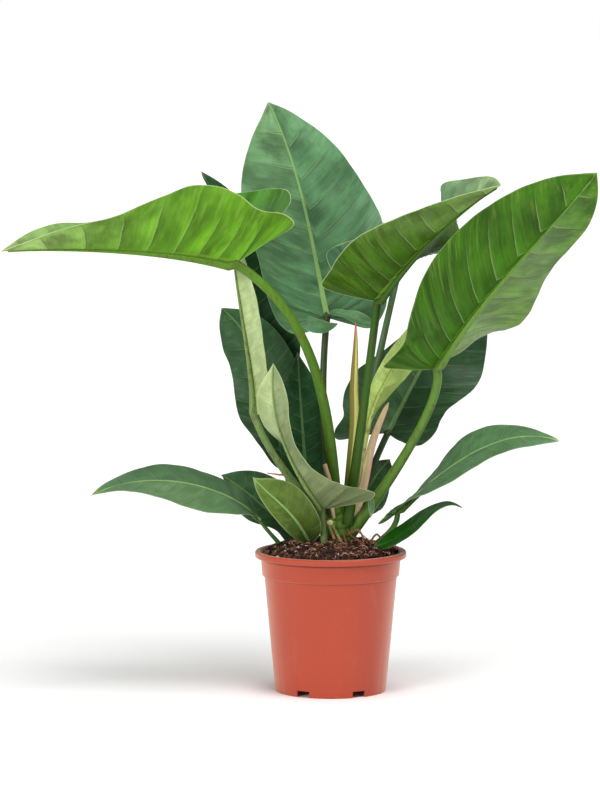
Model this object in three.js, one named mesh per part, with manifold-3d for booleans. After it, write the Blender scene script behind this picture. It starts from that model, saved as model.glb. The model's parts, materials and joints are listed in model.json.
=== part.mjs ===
// A potted philodendron: a plastic nursery pot full of potting mix, a short ringed stem, and eighteen leaves.
// Millimetres, +Z up. The pot stands on z = 0 with its middle at the origin, and the front of the plant faces -Y.

import * as THREE from 'three';
import Module from 'manifold-3d';

const wasm = await Module();
wasm.setup();

const AIR = 0.3; // gap kept between two separate pieces
const BLADE = 0.8; // thickness of a leaf blade
const SLIVER = 0.02; // facets this far out of flat or less are run together

const POT = { height: 195, base: 77, shoulder: 92, collar: 95, neck: 97, lip: 105, wall: 1.6, sides: 42 };
const FEET = { count: 6, height: 9, gap: 20, notch: 8, notchDepth: 1, hole: 6, holeRing: 60 };
const PLATE = { under: FEET.height, top: FEET.height + 3, pad: 21 };
const SOIL = { middle: 204, fall: 14, sides: 30, rings: [22, 35, 48, 61, 73, 84], lump: 1.6 };
const STEM = { x: 12, y: 4, radius: 18, foot: 150, level: 206, top: 259, sides: 14 };

// Half outlines of a blade as [along, across] shares of its length and half width, from the joint to the tip.
const OUTLINES = {
  heart: [[0, 0], [-0.10, 0.28], [-0.12, 0.62], [0, 0.90], [0.19, 1], [0.42, 0.94], [0.65, 0.70], [0.84, 0.36],
    [0.95, 0.10], [1, 0]],
  oblong: [[0, 0], [-0.06, 0.30], [-0.06, 0.58], [0.04, 0.80], [0.20, 0.94], [0.38, 1], [0.56, 0.97],
    [0.73, 0.80], [0.87, 0.50], [0.96, 0.17], [1, 0]],
  lance: [[0, 0.05], [0.06, 0.34], [0.18, 0.70], [0.34, 0.94], [0.50, 1], [0.68, 0.84], [0.85, 0.48],
    [0.95, 0.16], [1, 0]],
  winged: [[0, 0], [-0.1, 0.31], [-0.21, 0.62], [-0.165, 0.74], [-0.06, 0.73], [0.02, 0.83], [0.12, 0.9],
    [0.24, 0.88], [0.34, 0.76], [0.46, 0.62], [0.57, 0.5], [0.68, 0.44], [0.8, 0.32], [0.92, 0.13], [1, 0]],
  looped: [[0, 0], [-0.08, 0.48], [-0.13, 0.82], [-0.145, 0.99], [-0.12, 1.1], [-0.06, 1.07], [0.01, 0.99],
    [0.09, 0.93], [0.19, 0.92], [0.32, 0.96], [0.46, 0.85], [0.6, 0.66], [0.75, 0.53], [0.89, 0.3], [1, 0]],
  curled: [[0, 0], [-0.08, 0.46], [-0.13, 0.8], [-0.145, 1], [-0.12, 1.12], [-0.06, 1.1], [0.01, 1.02],
    [0.09, 0.96], [0.19, 0.95], [0.34, 0.96], [0.52, 0.88], [0.7, 0.66], [0.85, 0.44], [0.95, 0.22], [1, 0]],
  slanted: [[0, 0], [0.02, 0.1], [0.05, 0.3], [0.09, 0.6], [0.16, 0.88], [0.28, 1], [0.4, 1], [0.54, 0.97],
    [0.68, 0.84], [0.82, 0.6], [0.93, 0.28], [1, 0]],
  crumpled: [[0, 0], [-0.01, 0.3], [-0.015, 0.58], [-0.02, 0.84], [0.03, 0.78], [0.08, 0.78], [0.16, 0.87],
    [0.28, 0.97], [0.42, 1], [0.57, 0.97], [0.73, 0.8], [0.87, 0.5], [0.96, 0.17], [1, 0]],
  blunt: [[0, 0], [-0.02, 0.3], [-0.04, 0.62], [-0.03, 0.77], [0.05, 0.8], [0.13, 0.85], [0.26, 0.95],
    [0.4, 1], [0.57, 0.91], [0.73, 0.72], [0.87, 0.44], [0.96, 0.16], [1, 0]],
  spoon: [[0, 0], [0, 0.14], [0.03, 0.34], [0.09, 0.58], [0.19, 0.82], [0.32, 1.02], [0.45, 1], [0.58, 0.9],
    [0.68, 0.82], [0.78, 0.8], [0.88, 0.6], [0.95, 0.34], [1, 0]],
  eared: [[0, 0], [-0.08, 0.12], [-0.11, 0.26], [-0.04, 0.26], [0.06, 0.34], [0.18, 0.7], [0.34, 0.94],
    [0.5, 1], [0.68, 0.88], [0.85, 0.54], [0.95, 0.2], [1, 0]],
  flared: [[0, 0], [-0.06, 0.42], [-0.08, 0.8], [-0.02, 0.98], [0.06, 0.88], [0.14, 0.66], [0.23, 0.49],
    [0.34, 0.39], [0.48, 0.35], [0.62, 0.34], [0.76, 0.29], [0.9, 0.16], [1, 0]],
  tapered: [[0, 0], [-0.06, 0.28], [-0.1, 0.55], [-0.02, 0.76], [0.12, 0.88], [0.28, 0.95], [0.4, 1],
    [0.52, 0.93], [0.64, 0.8], [0.74, 0.66], [0.84, 0.49], [0.94, 0.25], [1, 0]],
};

const GREEN = { blue: '#5d8a63', bright: '#74a52f', olive: '#5c7d2c', fresh: '#5d9130', grey: '#587a52',
  dark: '#39553c', darkest: '#223f28', young: '#b3cf74', pale: '#9db574', low: '#5f7f58', glossy: '#3a6a22',
  leafy: '#6f8f3c' };

// Every leaf. spine: four handles of the midrib's curve from joint to tip. face: the way the upper surface looks at
// the joint and at the tip. outline: of each half. half: half widths, first the side to the left of a walker on the upper surface. fold:
// degrees each half is raised, at even stations. curl: further bend toward the edge, at joint and tip. rim: further
// bend of the outer quarter, at even rows from joint to tip. wave: height, count and start of each edge's ripples. stalk: four handles from foot to joint. thick: its two widths.
const LEAVES = [
  { name: 'leaf_back_tall', colour: 'blue', outline: ['oblong', 'tapered'], lobe: 0.8, half: [95, 107],
    spine: [[-5, 60, 514], [-24, 80, 608], [-41, 76, 723], [-87, 80, 814]],
    face: [[0.20, -0.93, 0.28], [0.30, -0.86, 0.40]],
    fold: [[10, 15, 5, -5], [14, 8, -4, -12]], curl: [[0, -5], [-5, -12]], rim: [[0, 0], [0, 0]],
    wave: [[5, 2.5, 0.1], [6, 2.5, 0.4]],
    stalk: [[6, 12, 248], [-9, 22, 290], [-16, 55, 410], [-5, 60, 514]], thick: [14, 9.5] },
  { name: 'leaf_left_level', colour: 'bright', outline: ['winged', 'looped'], lobe: 1.0, half: [119, 122],
    spine: [[-130, -40, 595], [-215, -30, 614], [-335, -95, 622], [-447, -90, 615]],
    face: [[0.10, 0.10, 1.0], [0.0, -0.05, 1.0]],
    fold: [[62, 60, 44, 30], [60, 46, 24, 22, 30, 38]], curl: [[5, 0], [0, 0]], rim: [[0, 0], [0, 0]],
    wave: [[2, 2.5, 0.0], [4, 2.5, 0.3]],
    stalk: [[8, -8, 250], [-2, -24, 375], [-10, -36, 520], [-130, -40, 595]], thick: [17, 13] },
  { name: 'leaf_centre_out', colour: 'olive', outline: ['curled', 'blunt'], lobe: 1.0, half: [96, 104],
    spine: [[63, -60, 545], [101, -127, 604], [158, -163, 668], [221, -224, 709]],
    face: [[-0.23, -0.11, 0.97], [-0.05, -0.10, 1.0]],
    fold: [[84, 24, -6, 48, 44, 48], [45, 34, 22, 17]], curl: [[4, -5], [-3, -8]], rim: [[50, 20, 0, 0, 0, 0], [0, 0]],
    wave: [[3, 2.5, 0.2], [2, 2.5, 0.6]],
    stalk: [[23, -10, 234], [33, -28, 304], [56, -54, 485], [63, -60, 545]], thick: [16, 11] },
  { name: 'leaf_right_big', colour: 'fresh', outline: ['slanted', 'crumpled'], lobe: 1.0, half: [110, 106],
    spine: [[143, -80, 455], [205, -135, 566], [284, -75, 627], [359, -80, 721]],
    face: [[-0.42, 0.73, 0.55], [-0.44, 0.73, 0.52]],
    fold: [[35, 15, 15, 0], [0, 15, 12, 5]], curl: [[-2, -3], [-8, 0]], rim: [[0, 0], [0, 0]],
    wave: [[5, 3, 0.1], [4, 3, 0.5]],
    stalk: [[26, 4, 216], [72, -22, 280], [158, -66, 412], [143, -80, 455]], thick: [18, 12] },
  { name: 'leaf_back_level', colour: 'grey', outline: ['heart', 'heart'], lobe: 0.5, half: [72, 78],
    spine: [[108, 118, 622], [104, 190, 634], [90, 280, 640], [70, 357, 628]],
    face: [[0.0, -0.25, 0.97], [0.04, 0.0, 1.0]],
    fold: [[18, 12, 6, 0], [18, 12, 6, 0]], curl: [[0, 0], [0, 0]], rim: [[0, 0], [0, 0]],
    wave: [[5, 2.5, 0.2], [5, 2.5, 0.7]],
    stalk: [[17, 16, 246], [54, 30, 392], [80, -28, 540], [108, 118, 622]], thick: [13, 9] },
  { name: 'leaf_right_back', colour: 'dark', outline: ['winged', 'oblong'], lobe: 0.9, half: [90, 80],
    spine: [[80, 58, 352], [110, 113, 400], [150, 63, 500], [212, 93, 566]],
    face: [[0.05, -0.97, 0.25], [0.35, -0.90, -0.10]],
    fold: [[0, 3, 0, -3], [25, 40, 0, -10]], curl: [[0, 5], [10, -5]], rim: [[0, 0], [0, 0]],
    wave: [[5, 3, 0.3], [6, 3, 0.0]],
    stalk: [[23, 17, 226], [50, 30, 286], [66, 46, 325], [80, 58, 352]], thick: [13, 9] },
  { name: 'leaf_young_right', colour: 'young', outline: ['lance', 'lance'], lobe: 1.0, half: [45, 18],
    spine: [[51, 0, 363], [56, 7, 412], [107, -14, 485], [149, -21, 544]],
    face: [[-0.17, 0.84, 0.52], [-0.10, 0.88, 0.46]],
    fold: [[60, 40, 30, 30], [20, 15, 10, 10]], curl: [[-5, -8], [0, 0]], rim: [[0, 0], [0, 0]],
    wave: [[0, 1, 0], [0, 1, 0]],
    stalk: [[25, 5, 242], [34, 6, 276], [46, 0, 330], [51, 0, 363]], thick: [9, 6] },
  { name: 'leaf_left_back', colour: 'dark', outline: ['spoon', 'oblong'], lobe: 1.0, half: [47, 52],
    spine: [[-61, 60, 300], [-84, 80, 385], [-96, 130, 480], [-153, 90, 525]],
    face: [[0.25, -0.92, 0.30], [0.05, -0.98, 0.15]],
    fold: [[25, 0, -15, -10], [10, 10, 10, 10]], curl: [[5, -10], [0, 5]], rim: [[0, 0], [0, 0]],
    wave: [[4, 3, 0.2], [4, 3, 0.6]],
    stalk: [[0, 9, 214], [-18, 28, 240], [-46, 50, 268], [-61, 60, 300]], thick: [10, 7] },
  { name: 'leaf_left_far', colour: 'darkest', outline: ['oblong', 'oblong'], lobe: 1.0, half: [24, 57],
    spine: [[-82, 125, 385], [-86, 165, 481], [-121, 148, 607], [-182, 152, 715]],
    face: [[-0.25, -0.93, 0.18], [0.45, -0.75, 0.45]],
    fold: [[40, 50, 50, 40], [30, 10, 0, -5]], curl: [[0, 5], [5, -5]], rim: [[0, 0], [0, 0]],
    wave: [[4, 2.5, 0.4], [4, 2.5, 0.1]],
    stalk: [[9, 17, 232], [-8, 66, 248], [-66, 135, 323], [-82, 125, 385]], thick: [11, 8] },
  { name: 'leaf_left_inner', colour: 'darkest', outline: ['heart', 'heart'], lobe: 1.0, half: [42, 44],
    spine: [[-34, 40, 286], [-38, 48, 341], [-43, 75, 404], [-46, 62, 466]],
    face: [[0.30, -0.90, 0.26], [0.17, -0.95, 0.26]],
    fold: [[20, 14, 9, 7], [9, 3, 1, 4]], curl: [[6, 2], [-2, -2]], rim: [[0, 0], [0, 0]],
    wave: [[3, 2.5, 0.2], [3, 2.5, 0.6]],
    stalk: [[0, 10, 236], [-8, 20, 254], [-22, 36, 262], [-34, 40, 286]], thick: [9, 7] },
  { name: 'leaf_left_narrow', colour: 'pale', outline: ['lance', 'lance'], lobe: 1.0, half: [38, 34],
    spine: [[-105, 10, 379], [-103, 30, 443], [-127, -10, 528], [-138, 0, 640]],
    face: [[0.90, 0.42, -0.05], [0.93, 0.30, 0.20]],
    fold: [[50, 14, 32, 40], [60, 60, 60, 60]], curl: [[-5, -8], [0, 0]], rim: [[0, 0], [0, 0]],
    wave: [[3, 2, 0.5], [0, 1, 0]],
    stalk: [[0, -1, 228], [-26, 0, 262], [-80, 6, 312], [-105, 10, 379]], thick: [16, 10] },
  { name: 'leaf_front_pale', colour: 'pale', outline: ['flared', 'heart'], lobe: 0.6, half: [82, 55],
    spine: [[-12, -40, 257], [-60, -95, 330], [-86, -55, 384], [-79, -75, 462]],
    face: [[0.25, 0.65, 0.70], [0.03, 0.80, 0.60]],
    fold: [[20, -18, -22, 0], [70, 70, 35, 0]], curl: [[-8, -10], [0, -5]], rim: [[0, 0], [0, 0]],
    wave: [[3, 2, 0.3], [2, 2, 0.0]],
    stalk: [[-7, -22, 184], [-7, -22, 204], [-14, -33, 240], [-12, -40, 257]], thick: [11, 9] },
  { name: 'leaf_low_left_long', colour: 'low', outline: ['lance', 'lance'], lobe: 1.0, half: [58, 52],
    spine: [[-98, -6, 238], [-145, -46, 297], [-256, -16, 313], [-330, -31, 275]],
    face: [[0.0, -0.55, 0.83], [-0.25, -0.20, 0.95]],
    fold: [[30, 0, 0, 15], [10, -12, 8, 5]], curl: [[5, 0], [-5, -3]], rim: [[0, 0], [0, 0]],
    wave: [[3, 2, 0.1], [3, 2, 0.5]],
    stalk: [[-62, 2, 182], [-63, 2, 202], [-83, -3, 214], [-98, -6, 238]], thick: [8, 5.5] },
  { name: 'leaf_low_left_round', colour: 'dark', outline: ['heart', 'heart'], lobe: 1.0, half: [38, 52],
    spine: [[-59, 40, 212], [-86, 58, 245], [-122, 76, 273], [-153, 53, 294]],
    face: [[0.35, -0.80, 0.46], [0.05, -0.95, 0.28]],
    fold: [[42, 16, 6, 3], [8, 0, 0, 7]], curl: [[8, 0], [-4, -2]], rim: [[0, 0], [0, 0]],
    wave: [[3, 2, 0.3], [3, 2, 0.8]],
    stalk: [[-40, 38, 180], [-42, 38, 196], [-50, 39, 204], [-59, 40, 212]], thick: [7, 5] },
  { name: 'leaf_low_left_front', colour: 'leafy', outline: ['lance', 'lance'], lobe: 1.0, half: [22, 39],
    spine: [[-30, -18, 208], [-52, -70, 262], [-76, -35, 266], [-107, -60, 304]],
    face: [[-0.10, -0.90, 0.40], [-0.10, -0.90, 0.40]],
    fold: [[20, 20, 10, 0], [35, 35, 30, 20]], curl: [[5, 0], [15, 10]], rim: [[0, 0], [0, 0]],
    wave: [[2, 2, 0.0], [2, 2, 0.4]],
    stalk: [[-28, -14, 180], [-28, -15, 192], [-28, -17, 200], [-30, -18, 208]], thick: [8, 6] },
  { name: 'leaf_low_right_long', colour: 'low', outline: ['lance', 'eared'], lobe: 1.0, half: [49, 52],
    spine: [[92, -10, 250], [149, -55, 311], [231, -40, 380], [312, -52, 353]],
    face: [[0.07, -0.33, 0.94], [0.02, -0.44, 0.90]],
    fold: [[0, -5, 5, 5], [22, 12, 10, -5]], curl: [[-8, -4], [5, -5]], rim: [[0, 0], [0, 0]],
    wave: [[3, 2, 0.2], [3, 2, 0.7]],
    stalk: [[47, 8, 182], [50, 8, 200], [95, -7, 218], [92, -10, 250]], thick: [12, 8] },
  { name: 'leaf_low_right_short', colour: 'glossy', outline: ['lance', 'lance'], lobe: 1.0, half: [27, 34],
    spine: [[61, -24, 204], [103, -28, 206], [141, -63, 290], [179, -68, 263]],
    face: [[0.0, -0.52, 0.86], [0.10, -0.26, 0.96]],
    fold: [[25, 5, -5, 5], [20, 10, 5, 5]], curl: [[-4, -8], [-3, -4]], rim: [[0, 0], [0, 0]],
    wave: [[2, 2, 0.1], [2, 2, 0.6]],
    stalk: [[54, -20, 180], [55, -21, 188], [57, -22, 196], [61, -24, 204]], thick: [7, 5] },
  { name: 'leaf_low_right_back', colour: 'dark', outline: ['heart', 'heart'], lobe: 1.0, half: [29, 31],
    spine: [[41, 34, 250], [51, 55, 269], [60, 30, 297], [84, 70, 314]],
    face: [[-0.05, -0.95, 0.30], [-0.05, -0.95, 0.31]],
    fold: [[10, 8, 5, 0], [15, 12, 10, 8]], curl: [[0, -3], [3, 2]], rim: [[0, 0], [0, 0]],
    wave: [[2, 2, 0.3], [2, 2, 0.8]],
    stalk: [[26, 15, 205], [32, 20, 226], [34, 30, 236], [41, 34, 250]], thick: [7, 5] },
];

const SPIKE = { path: [[20, 1, 250], [24, -2, 285], [32, -4, 370], [32, -4, 424], [34, -4, 480], [34, -4, 513]],
  radii: [4, 5.6, 6.4, 6, 3.4, 0.7], sides: 8, colour: '#c9be74' };

// Thin papery sheaths that wrapped a young leaf: a strip bent to a shallow channel round its stalk.
const SHEATHS = [
  { name: 'sheath_long', path: [[27, -2, 240], [38, -2, 256], [47, 1, 289], [59, 5, 347], [80, 10, 400]], width: [5, 8, 9, 8.5, 5],
    open: [0.35, -1, 0], colour: '#ebbcab' },
  { name: 'sheath_short', path: [[5, -10, 240], [2, -21, 256], [0, -23, 280], [-3, -24, 298], [-9, -23, 318]], width: [4, 5, 6.5, 6.5, 6],
    open: [-0.3, -1, 0], colour: '#e8b8a6' },
];

const ROOTS = [
  { name: 'root_front', path: [[22, -6, 216], [30, -20, 223], [37, -27, 227], [43, -30, 220], [45, -30, 208], [45, -30, 188]],
    radii: [1.6, 1.6, 1.6, 1.5, 1.4, 1.3] },
  { name: 'root_right', path: [[55, -12, 186], [56, -12, 208], [63, -12, 219], [71, -10, 213], [79, -12, 221],
    [84, -12, 209], [84, -12, 186]], radii: [1.3, 1.4, 1.5, 1.4, 1.4, 1.3, 1.2] },
];

const TWIG = { path: [[-88, 0, 303], [-76, 1, 301], [-64, 3, 300]], radii: [0.7, 1.1, 1.6], colour: '#b98a52' };

const vector = (p) => new THREE.Vector3(...p);
const mix = (a, b, t) => a + (b - a) * t;
const radians = THREE.MathUtils.degToRad;

/** A repeatable stream of numbers from 0 to 1. */
function seeded(seed) {
  let state = seed;
  return () => {
    state = (state * 1664525 + 1013904223) % 4294967296;
    return state / 4294967296;
  };
}

/** A smooth curve through evenly spaced rows of numbers, read at a share t of its whole run. */
function through(rows, t) {
  const last = rows.length - 1;
  const place = Math.min(Math.max(t, 0), 1) * last;
  const i = Math.min(Math.floor(place), last - 1);
  const w = place - i;
  const [before, from, to, after] = [rows[Math.max(i - 1, 0)], rows[i], rows[i + 1], rows[Math.min(i + 2, last)]];
  return from.map((value, k) => {
    const leave = (to[k] - before[k]) / 2;
    const arrive = (after[k] - value) / 2;
    return (2 * value - 2 * to[k] + leave + arrive) * w ** 3
      + (-3 * value + 3 * to[k] - 2 * leave - arrive) * w ** 2 + leave * w + value;
  });
}

const reading = (values, t) => through(values.map((value) => [value]), t)[0];

/** Joins equal corners, leaves out collapsed triangles and makes a solid of the rest. */
function solidOf(points, triangles) {
  const found = new Map();
  const corners = [];
  const renamed = points.map((p) => {
    const key = [p.x, p.y, p.z].map((c) => Math.round(c * 5000)).join();
    if (!found.has(key)) {
      found.set(key, corners.length / 3);
      corners.push(p.x, p.y, p.z);
    }
    return found.get(key);
  });
  const kept = triangles.map((triangle) => triangle.map((i) => renamed[i]))
    .filter(([a, b, c]) => a !== b && b !== c && c !== a);
  const mesh = new wasm.Mesh({ numProp: 3, vertProperties: new Float32Array(corners),
    triVerts: new Uint32Array(kept.flat()) });
  return new wasm.Manifold(mesh);
}

/** Corners and triangles of a solid, as plain lists. */
function listed(solid) {
  const { vertProperties, triVerts, numProp } = solid.getMesh();
  const points = [];
  for (let i = 0; i < vertProperties.length; i += numProp) {
    points.push(new THREE.Vector3(vertProperties[i], vertProperties[i + 1], vertProperties[i + 2]));
  }
  const triangles = [];
  for (let i = 0; i < triVerts.length; i += 3) triangles.push([triVerts[i], triVerts[i + 1], triVerts[i + 2]]);
  return { points, triangles };
}

/** The biggest of the loose bodies that a cut may leave. */
function mainBody(solid) {
  const { points, triangles } = listed(solid);
  const parent = points.map((_, i) => i);
  const root = (i) => {
    let at = i;
    while (parent[at] !== at) at = parent[at];
    return at;
  };
  triangles.forEach(([a, b, c]) => {
    parent[root(a)] = root(b);
    parent[root(b)] = root(c);
  });
  const bodies = new Map();
  triangles.forEach((triangle) => {
    const key = root(triangle[0]);
    if (!bodies.has(key)) bodies.set(key, []);
    bodies.get(key).push(triangle);
  });
  const biggest = [...bodies.values()].sort((one, other) => other.length - one.length)[0];
  return solidOf(points, biggest);
}

/** A solid of rings of one even number of corners, closed across at each end. */
function ringed(rings) {
  const points = rings.flat();
  const sides = rings[0].length;
  const triangles = [];
  for (let r = 0; r < rings.length - 1; r += 1) {
    for (let i = 0; i < sides; i += 1) {
      const next = (i + 1) % sides;
      const [a, b, c, d] = [r * sides + i, r * sides + next, (r + 1) * sides + next, (r + 1) * sides + i];
      triangles.push([a, b, c], [a, c, d]);
    }
  }
  const end = (rings.length - 1) * sides;
  for (let i = 0; i < sides / 2 - 1; i += 1) {
    const [a, b, c, d] = [i, i + 1, sides - 2 - i, sides - 1 - i];
    triangles.push([a, c, b], [a, d, c], [end + a, end + b, end + c], [end + a, end + c, end + d]);
  }
  return solidOf(points, triangles);
}

/** A solid turned about the upright line through (x, y) from a profile of [radius, height] rows, bottom first. */
function turned(profile, sides, x = 0, y = 0) {
  return ringed(profile.map(([radius, height]) => Array.from({ length: sides }, (_, i) => {
    const angle = (2 * Math.PI * i) / sides;
    return new THREE.Vector3(x + radius * Math.cos(angle), y + radius * Math.sin(angle), height);
  })));
}

/** A round bar along a path of points, with a radius for each. */
function bar(path, radii, sides) {
  const rings = [];
  let across = null;
  path.forEach((point, i) => {
    const ahead = path[Math.min(i + 1, path.length - 1)].clone().sub(point).normalize();
    const behind = point.clone().sub(path[Math.max(i - 1, 0)]).normalize();
    const along = ahead.add(behind).normalize();
    if (!across) across = Math.abs(along.z) < 0.9 ? new THREE.Vector3(0, 0, 1) : new THREE.Vector3(1, 0, 0);
    across = across.clone().addScaledVector(along, -across.dot(along)).normalize();
    const third = along.clone().cross(across);
    rings.push(Array.from({ length: sides }, (_, k) => {
      const angle = (2 * Math.PI * (k + 0.5)) / sides;
      return point.clone().addScaledVector(across, radii[i] * Math.cos(angle))
        .addScaledVector(third, radii[i] * Math.sin(angle));
    }));
  });
  return ringed(rings);
}

/** A box between two corners, turned about the upright axis. */
function block(low, high, turn) {
  const [a, b] = [vector(low), vector(high)];
  const corner = (x, y, z) => new THREE.Vector3(x, y, z).applyAxisAngle(new THREE.Vector3(0, 0, 1), turn);
  const ring = (z) => [corner(a.x, a.y, z), corner(b.x, a.y, z), corner(b.x, b.y, z), corner(a.x, b.y, z)];
  return ringed([ring(a.z), ring(b.z)]);
}

/** The height of the soil's surface before its lumps are added. */
const soilLevel = (radius) => SOIL.middle - SOIL.fall * (radius / POT.neck) ** 3;

/** The pot: a tapered wall with a step, a collar and a rolled lip, a raised bottom, six feet and six drains. */
function makePot() {
  const { height, base, shoulder, collar, neck, lip, wall, sides } = POT;
  const profile = [[0, 0], [PLATE.pad, 0], [PLATE.pad + 1, PLATE.under], [base - 2.8, PLATE.under],
    [base - 2.6, 0], [base, 0], [shoulder, 160], [collar, 161.5], [neck, height - 8.5], [lip - 1, height - 8.5],
    [lip, height - 7], [lip, height - 2], [lip - 1.5, height], [neck + 1.5, height], [neck - wall, height - 2.5],
    [neck - wall, height - 9], [collar - wall, 162.5], [shoulder - wall, 160.5],
    [base + 1.1 - wall, PLATE.top], [0, PLATE.top]];
  let pot = turned(profile, sides);
  for (let i = 0; i < FEET.count; i += 1) {
    const gapTurn = (2 * Math.PI * (i + 0.5)) / FEET.count - Math.PI / 2;
    const footTurn = (2 * Math.PI * i) / FEET.count - Math.PI / 2;
    pot = pot.subtract(block([base - 6, -FEET.gap / 2, -1], [base + 4, FEET.gap / 2, FEET.height], gapTurn));
    pot = pot.subtract(block([base - 6, -FEET.notch / 2, -1], [base + 4, FEET.notch / 2, FEET.notchDepth], footTurn));
    const drain = [[FEET.hole, PLATE.under - 1], [FEET.hole, PLATE.top + 1]];
    pot = pot.subtract(turned(drain, 12, FEET.holeRing * Math.cos(gapTurn), FEET.holeRing * Math.sin(gapTurn)));
  }
  return mainBody(pot);
}

/** The potting mix, a heap of small lumps over a plain body that follows the pot's inside. */
function makeSoil(stalks) {
  const draw = seeded(7);
  const { base, shoulder, wall, collar, neck, height } = POT;
  const ring = (radius, level) => Array.from({ length: SOIL.sides }, (_, i) => {
    const angle = (2 * Math.PI * i) / SOIL.sides;
    return new THREE.Vector3(radius * Math.cos(angle), radius * Math.sin(angle), level(angle));
  });
  const flat = (z) => () => z;
  const slope = (shoulder - base) / 160;
  const inner = (z) => base + slope * z - wall - AIR - 0.35;
  const rings = [ring(inner(PLATE.top), flat(PLATE.top + AIR)), ring(inner(159.5), flat(161)), ring(collar - wall - AIR - 0.4, flat(164.5)),
    ring(neck - wall - AIR - 0.5, () => height - 8 + 2 * draw())];
  [...SOIL.rings].reverse().forEach((radius) => {
    rings.push(ring(radius, () => soilLevel(radius) + SOIL.lump * (2 * draw() - 1)));
  });
  let soil = ringed(rings);
  const stemHole = [[STEM.radius - 1 + AIR, STEM.foot - AIR], [STEM.radius - 1 + AIR, SOIL.middle + 20]];
  soil = soil.subtract(turned(stemHole, STEM.sides, STEM.x, STEM.y));
  stalks.forEach((hole) => {
    soil = soil.subtract(hole);
  });
  return mainBody(soil);
}

/** The stem: a straight foot in the soil and a ringed crown above it, grown outward by a clearance. */
function makeStem(clearance = 0) {
  const { radius, foot, level, top, sides } = STEM;
  const rows = [[radius - 1, level], [radius, level + 3], [radius - 1.5, level + 8], [radius, level + 14],
    [radius - 1.5, level + 20], [radius - 0.5, level + 26], [radius - 2, level + 32], [radius - 1.5, level + 38],
    [radius - 4, level + 45], [radius - 10, top - 2], [0, top]];
  const profile = [[0, foot - clearance], [radius - 1 + clearance, foot - clearance],
    ...rows.map(([r, z], i) => [i === rows.length - 1 ? 0 : r + clearance, z + (i ? clearance : 0)])];
  return turned(profile, sides, STEM.x, STEM.y);
}

/** Where a blade stands at a share of its length along its midrib, or past the joint. */
function stationOf(leaf, along) {
  const held = Math.min(Math.max(along, 0), 1);
  const forward = leaf.curve.getTangentAt(held);
  const origin = leaf.curve.getPointAt(held).addScaledVector(forward, (along - held) * leaf.length);
  const up = leaf.looks[0].clone().lerp(leaf.looks[1], held);
  up.addScaledVector(forward, -up.dot(forward)).normalize();
  return { origin, forward, up, left: up.clone().cross(forward), held };
}

/** A point of a blade's middle surface: row runs 0 to 1 from joint to tip, column -1 to 1 from edge to edge. */
function bladePoint(leaf, row, column) {
  const side = column < 0 ? 0 : 1;
  const share = Math.abs(column);
  let [edge, across] = through(OUTLINES[leaf.outline[side]], row);
  if (edge < 0) edge *= leaf.lobe;
  const middle = row ** 1.25;
  const at = stationOf(leaf, mix(middle, edge, share ** 1.2));
  const fold = radians(reading(leaf.fold[side], at.held));
  const curl = radians(reading(leaf.curl[side], at.held));
  const rim = radians(reading(leaf.rim[side], row));
  const reach = Math.max(across, 0) * share * leaf.half[side];
  const bend = (k) => fold + curl * k + rim * Math.max((k - 0.7) / 0.3, 0) ** 0.7;
  const steps = 12;
  let out = 0;
  let rise = 0;
  for (let i = 0; i < steps; i += 1) {
    const angle = bend(share * ((i + 0.5) / steps));
    out += Math.cos(angle) / steps;
    rise += Math.sin(angle) / steps;
  }
  const outward = at.left.clone().multiplyScalar(side ? -1 : 1);
  const angle = bend(share);
  const normal = at.up.clone().multiplyScalar(Math.cos(angle)).addScaledVector(outward, -Math.sin(angle));
  const [height, count, start] = leaf.wave[side];
  const ripple = height * share ** 2 * Math.sin(2 * Math.PI * (count * row + start))
    * Math.sqrt(Math.max(Math.sin(Math.PI * row), 0));
  return at.origin.clone().addScaledVector(outward, reach * out).addScaledVector(at.up, reach * rise)
    .addScaledVector(normal, ripple);
}

/** A blade as a thin solid: the middle surface moved half its thickness each way, closed along the edge. */
function makeBlade(leaf) {
  const { rows, columns } = leaf;
  const across = 2 * columns;
  const grid = [];
  for (let r = 0; r <= rows; r += 1) {
    for (let c = 0; c <= across; c += 1) {
      const ends = r === 0 || r === rows;
      grid.push(bladePoint(leaf, r / rows, ends ? 0 : (c - columns) / columns));
    }
  }
  const at = (r, c) => r * (across + 1) + (r === 0 || r === rows ? columns : c);
  const face = [];
  for (let r = 0; r < rows; r += 1) {
    for (let c = 0; c < across; c += 1) {
      const corners = [at(r, c), at(r, c + 1), at(r + 1, c + 1), at(r + 1, c)];
      const [a, b, d, e] = corners;
      if (c < columns) face.push([a, b, e], [b, d, e]);
      else face.push([a, b, d], [a, d, e]);
    }
  }
  const whole = face.filter(([a, b, c]) => a !== b && b !== c && c !== a);
  const normals = grid.map(() => new THREE.Vector3());
  whole.forEach(([a, b, c]) => {
    const normal = grid[b].clone().sub(grid[a]).cross(grid[c].clone().sub(grid[a]));
    [a, b, c].forEach((i) => normals[i].add(normal));
  });
  const moved = (by) => grid.map((p, i) => p.clone().addScaledVector(normals[i].clone().normalize(), by));
  const points = [...moved(BLADE / 2), ...moved(-BLADE / 2)];
  const below = grid.length;
  const triangles = whole.map((t) => [...t]);
  whole.forEach(([a, b, c]) => triangles.push([below + a, below + c, below + b]));
  for (let r = 0; r < rows; r += 1) {
    const [a, b] = [at(r, 0), at(r + 1, 0)];
    triangles.push([a, b, below + b], [a, below + b, below + a]);
    const [c, d] = [at(r, across), at(r + 1, across)];
    triangles.push([d, c, below + c], [d, below + c, below + d]);
  }
  return solidOf(points, triangles);
}

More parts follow.
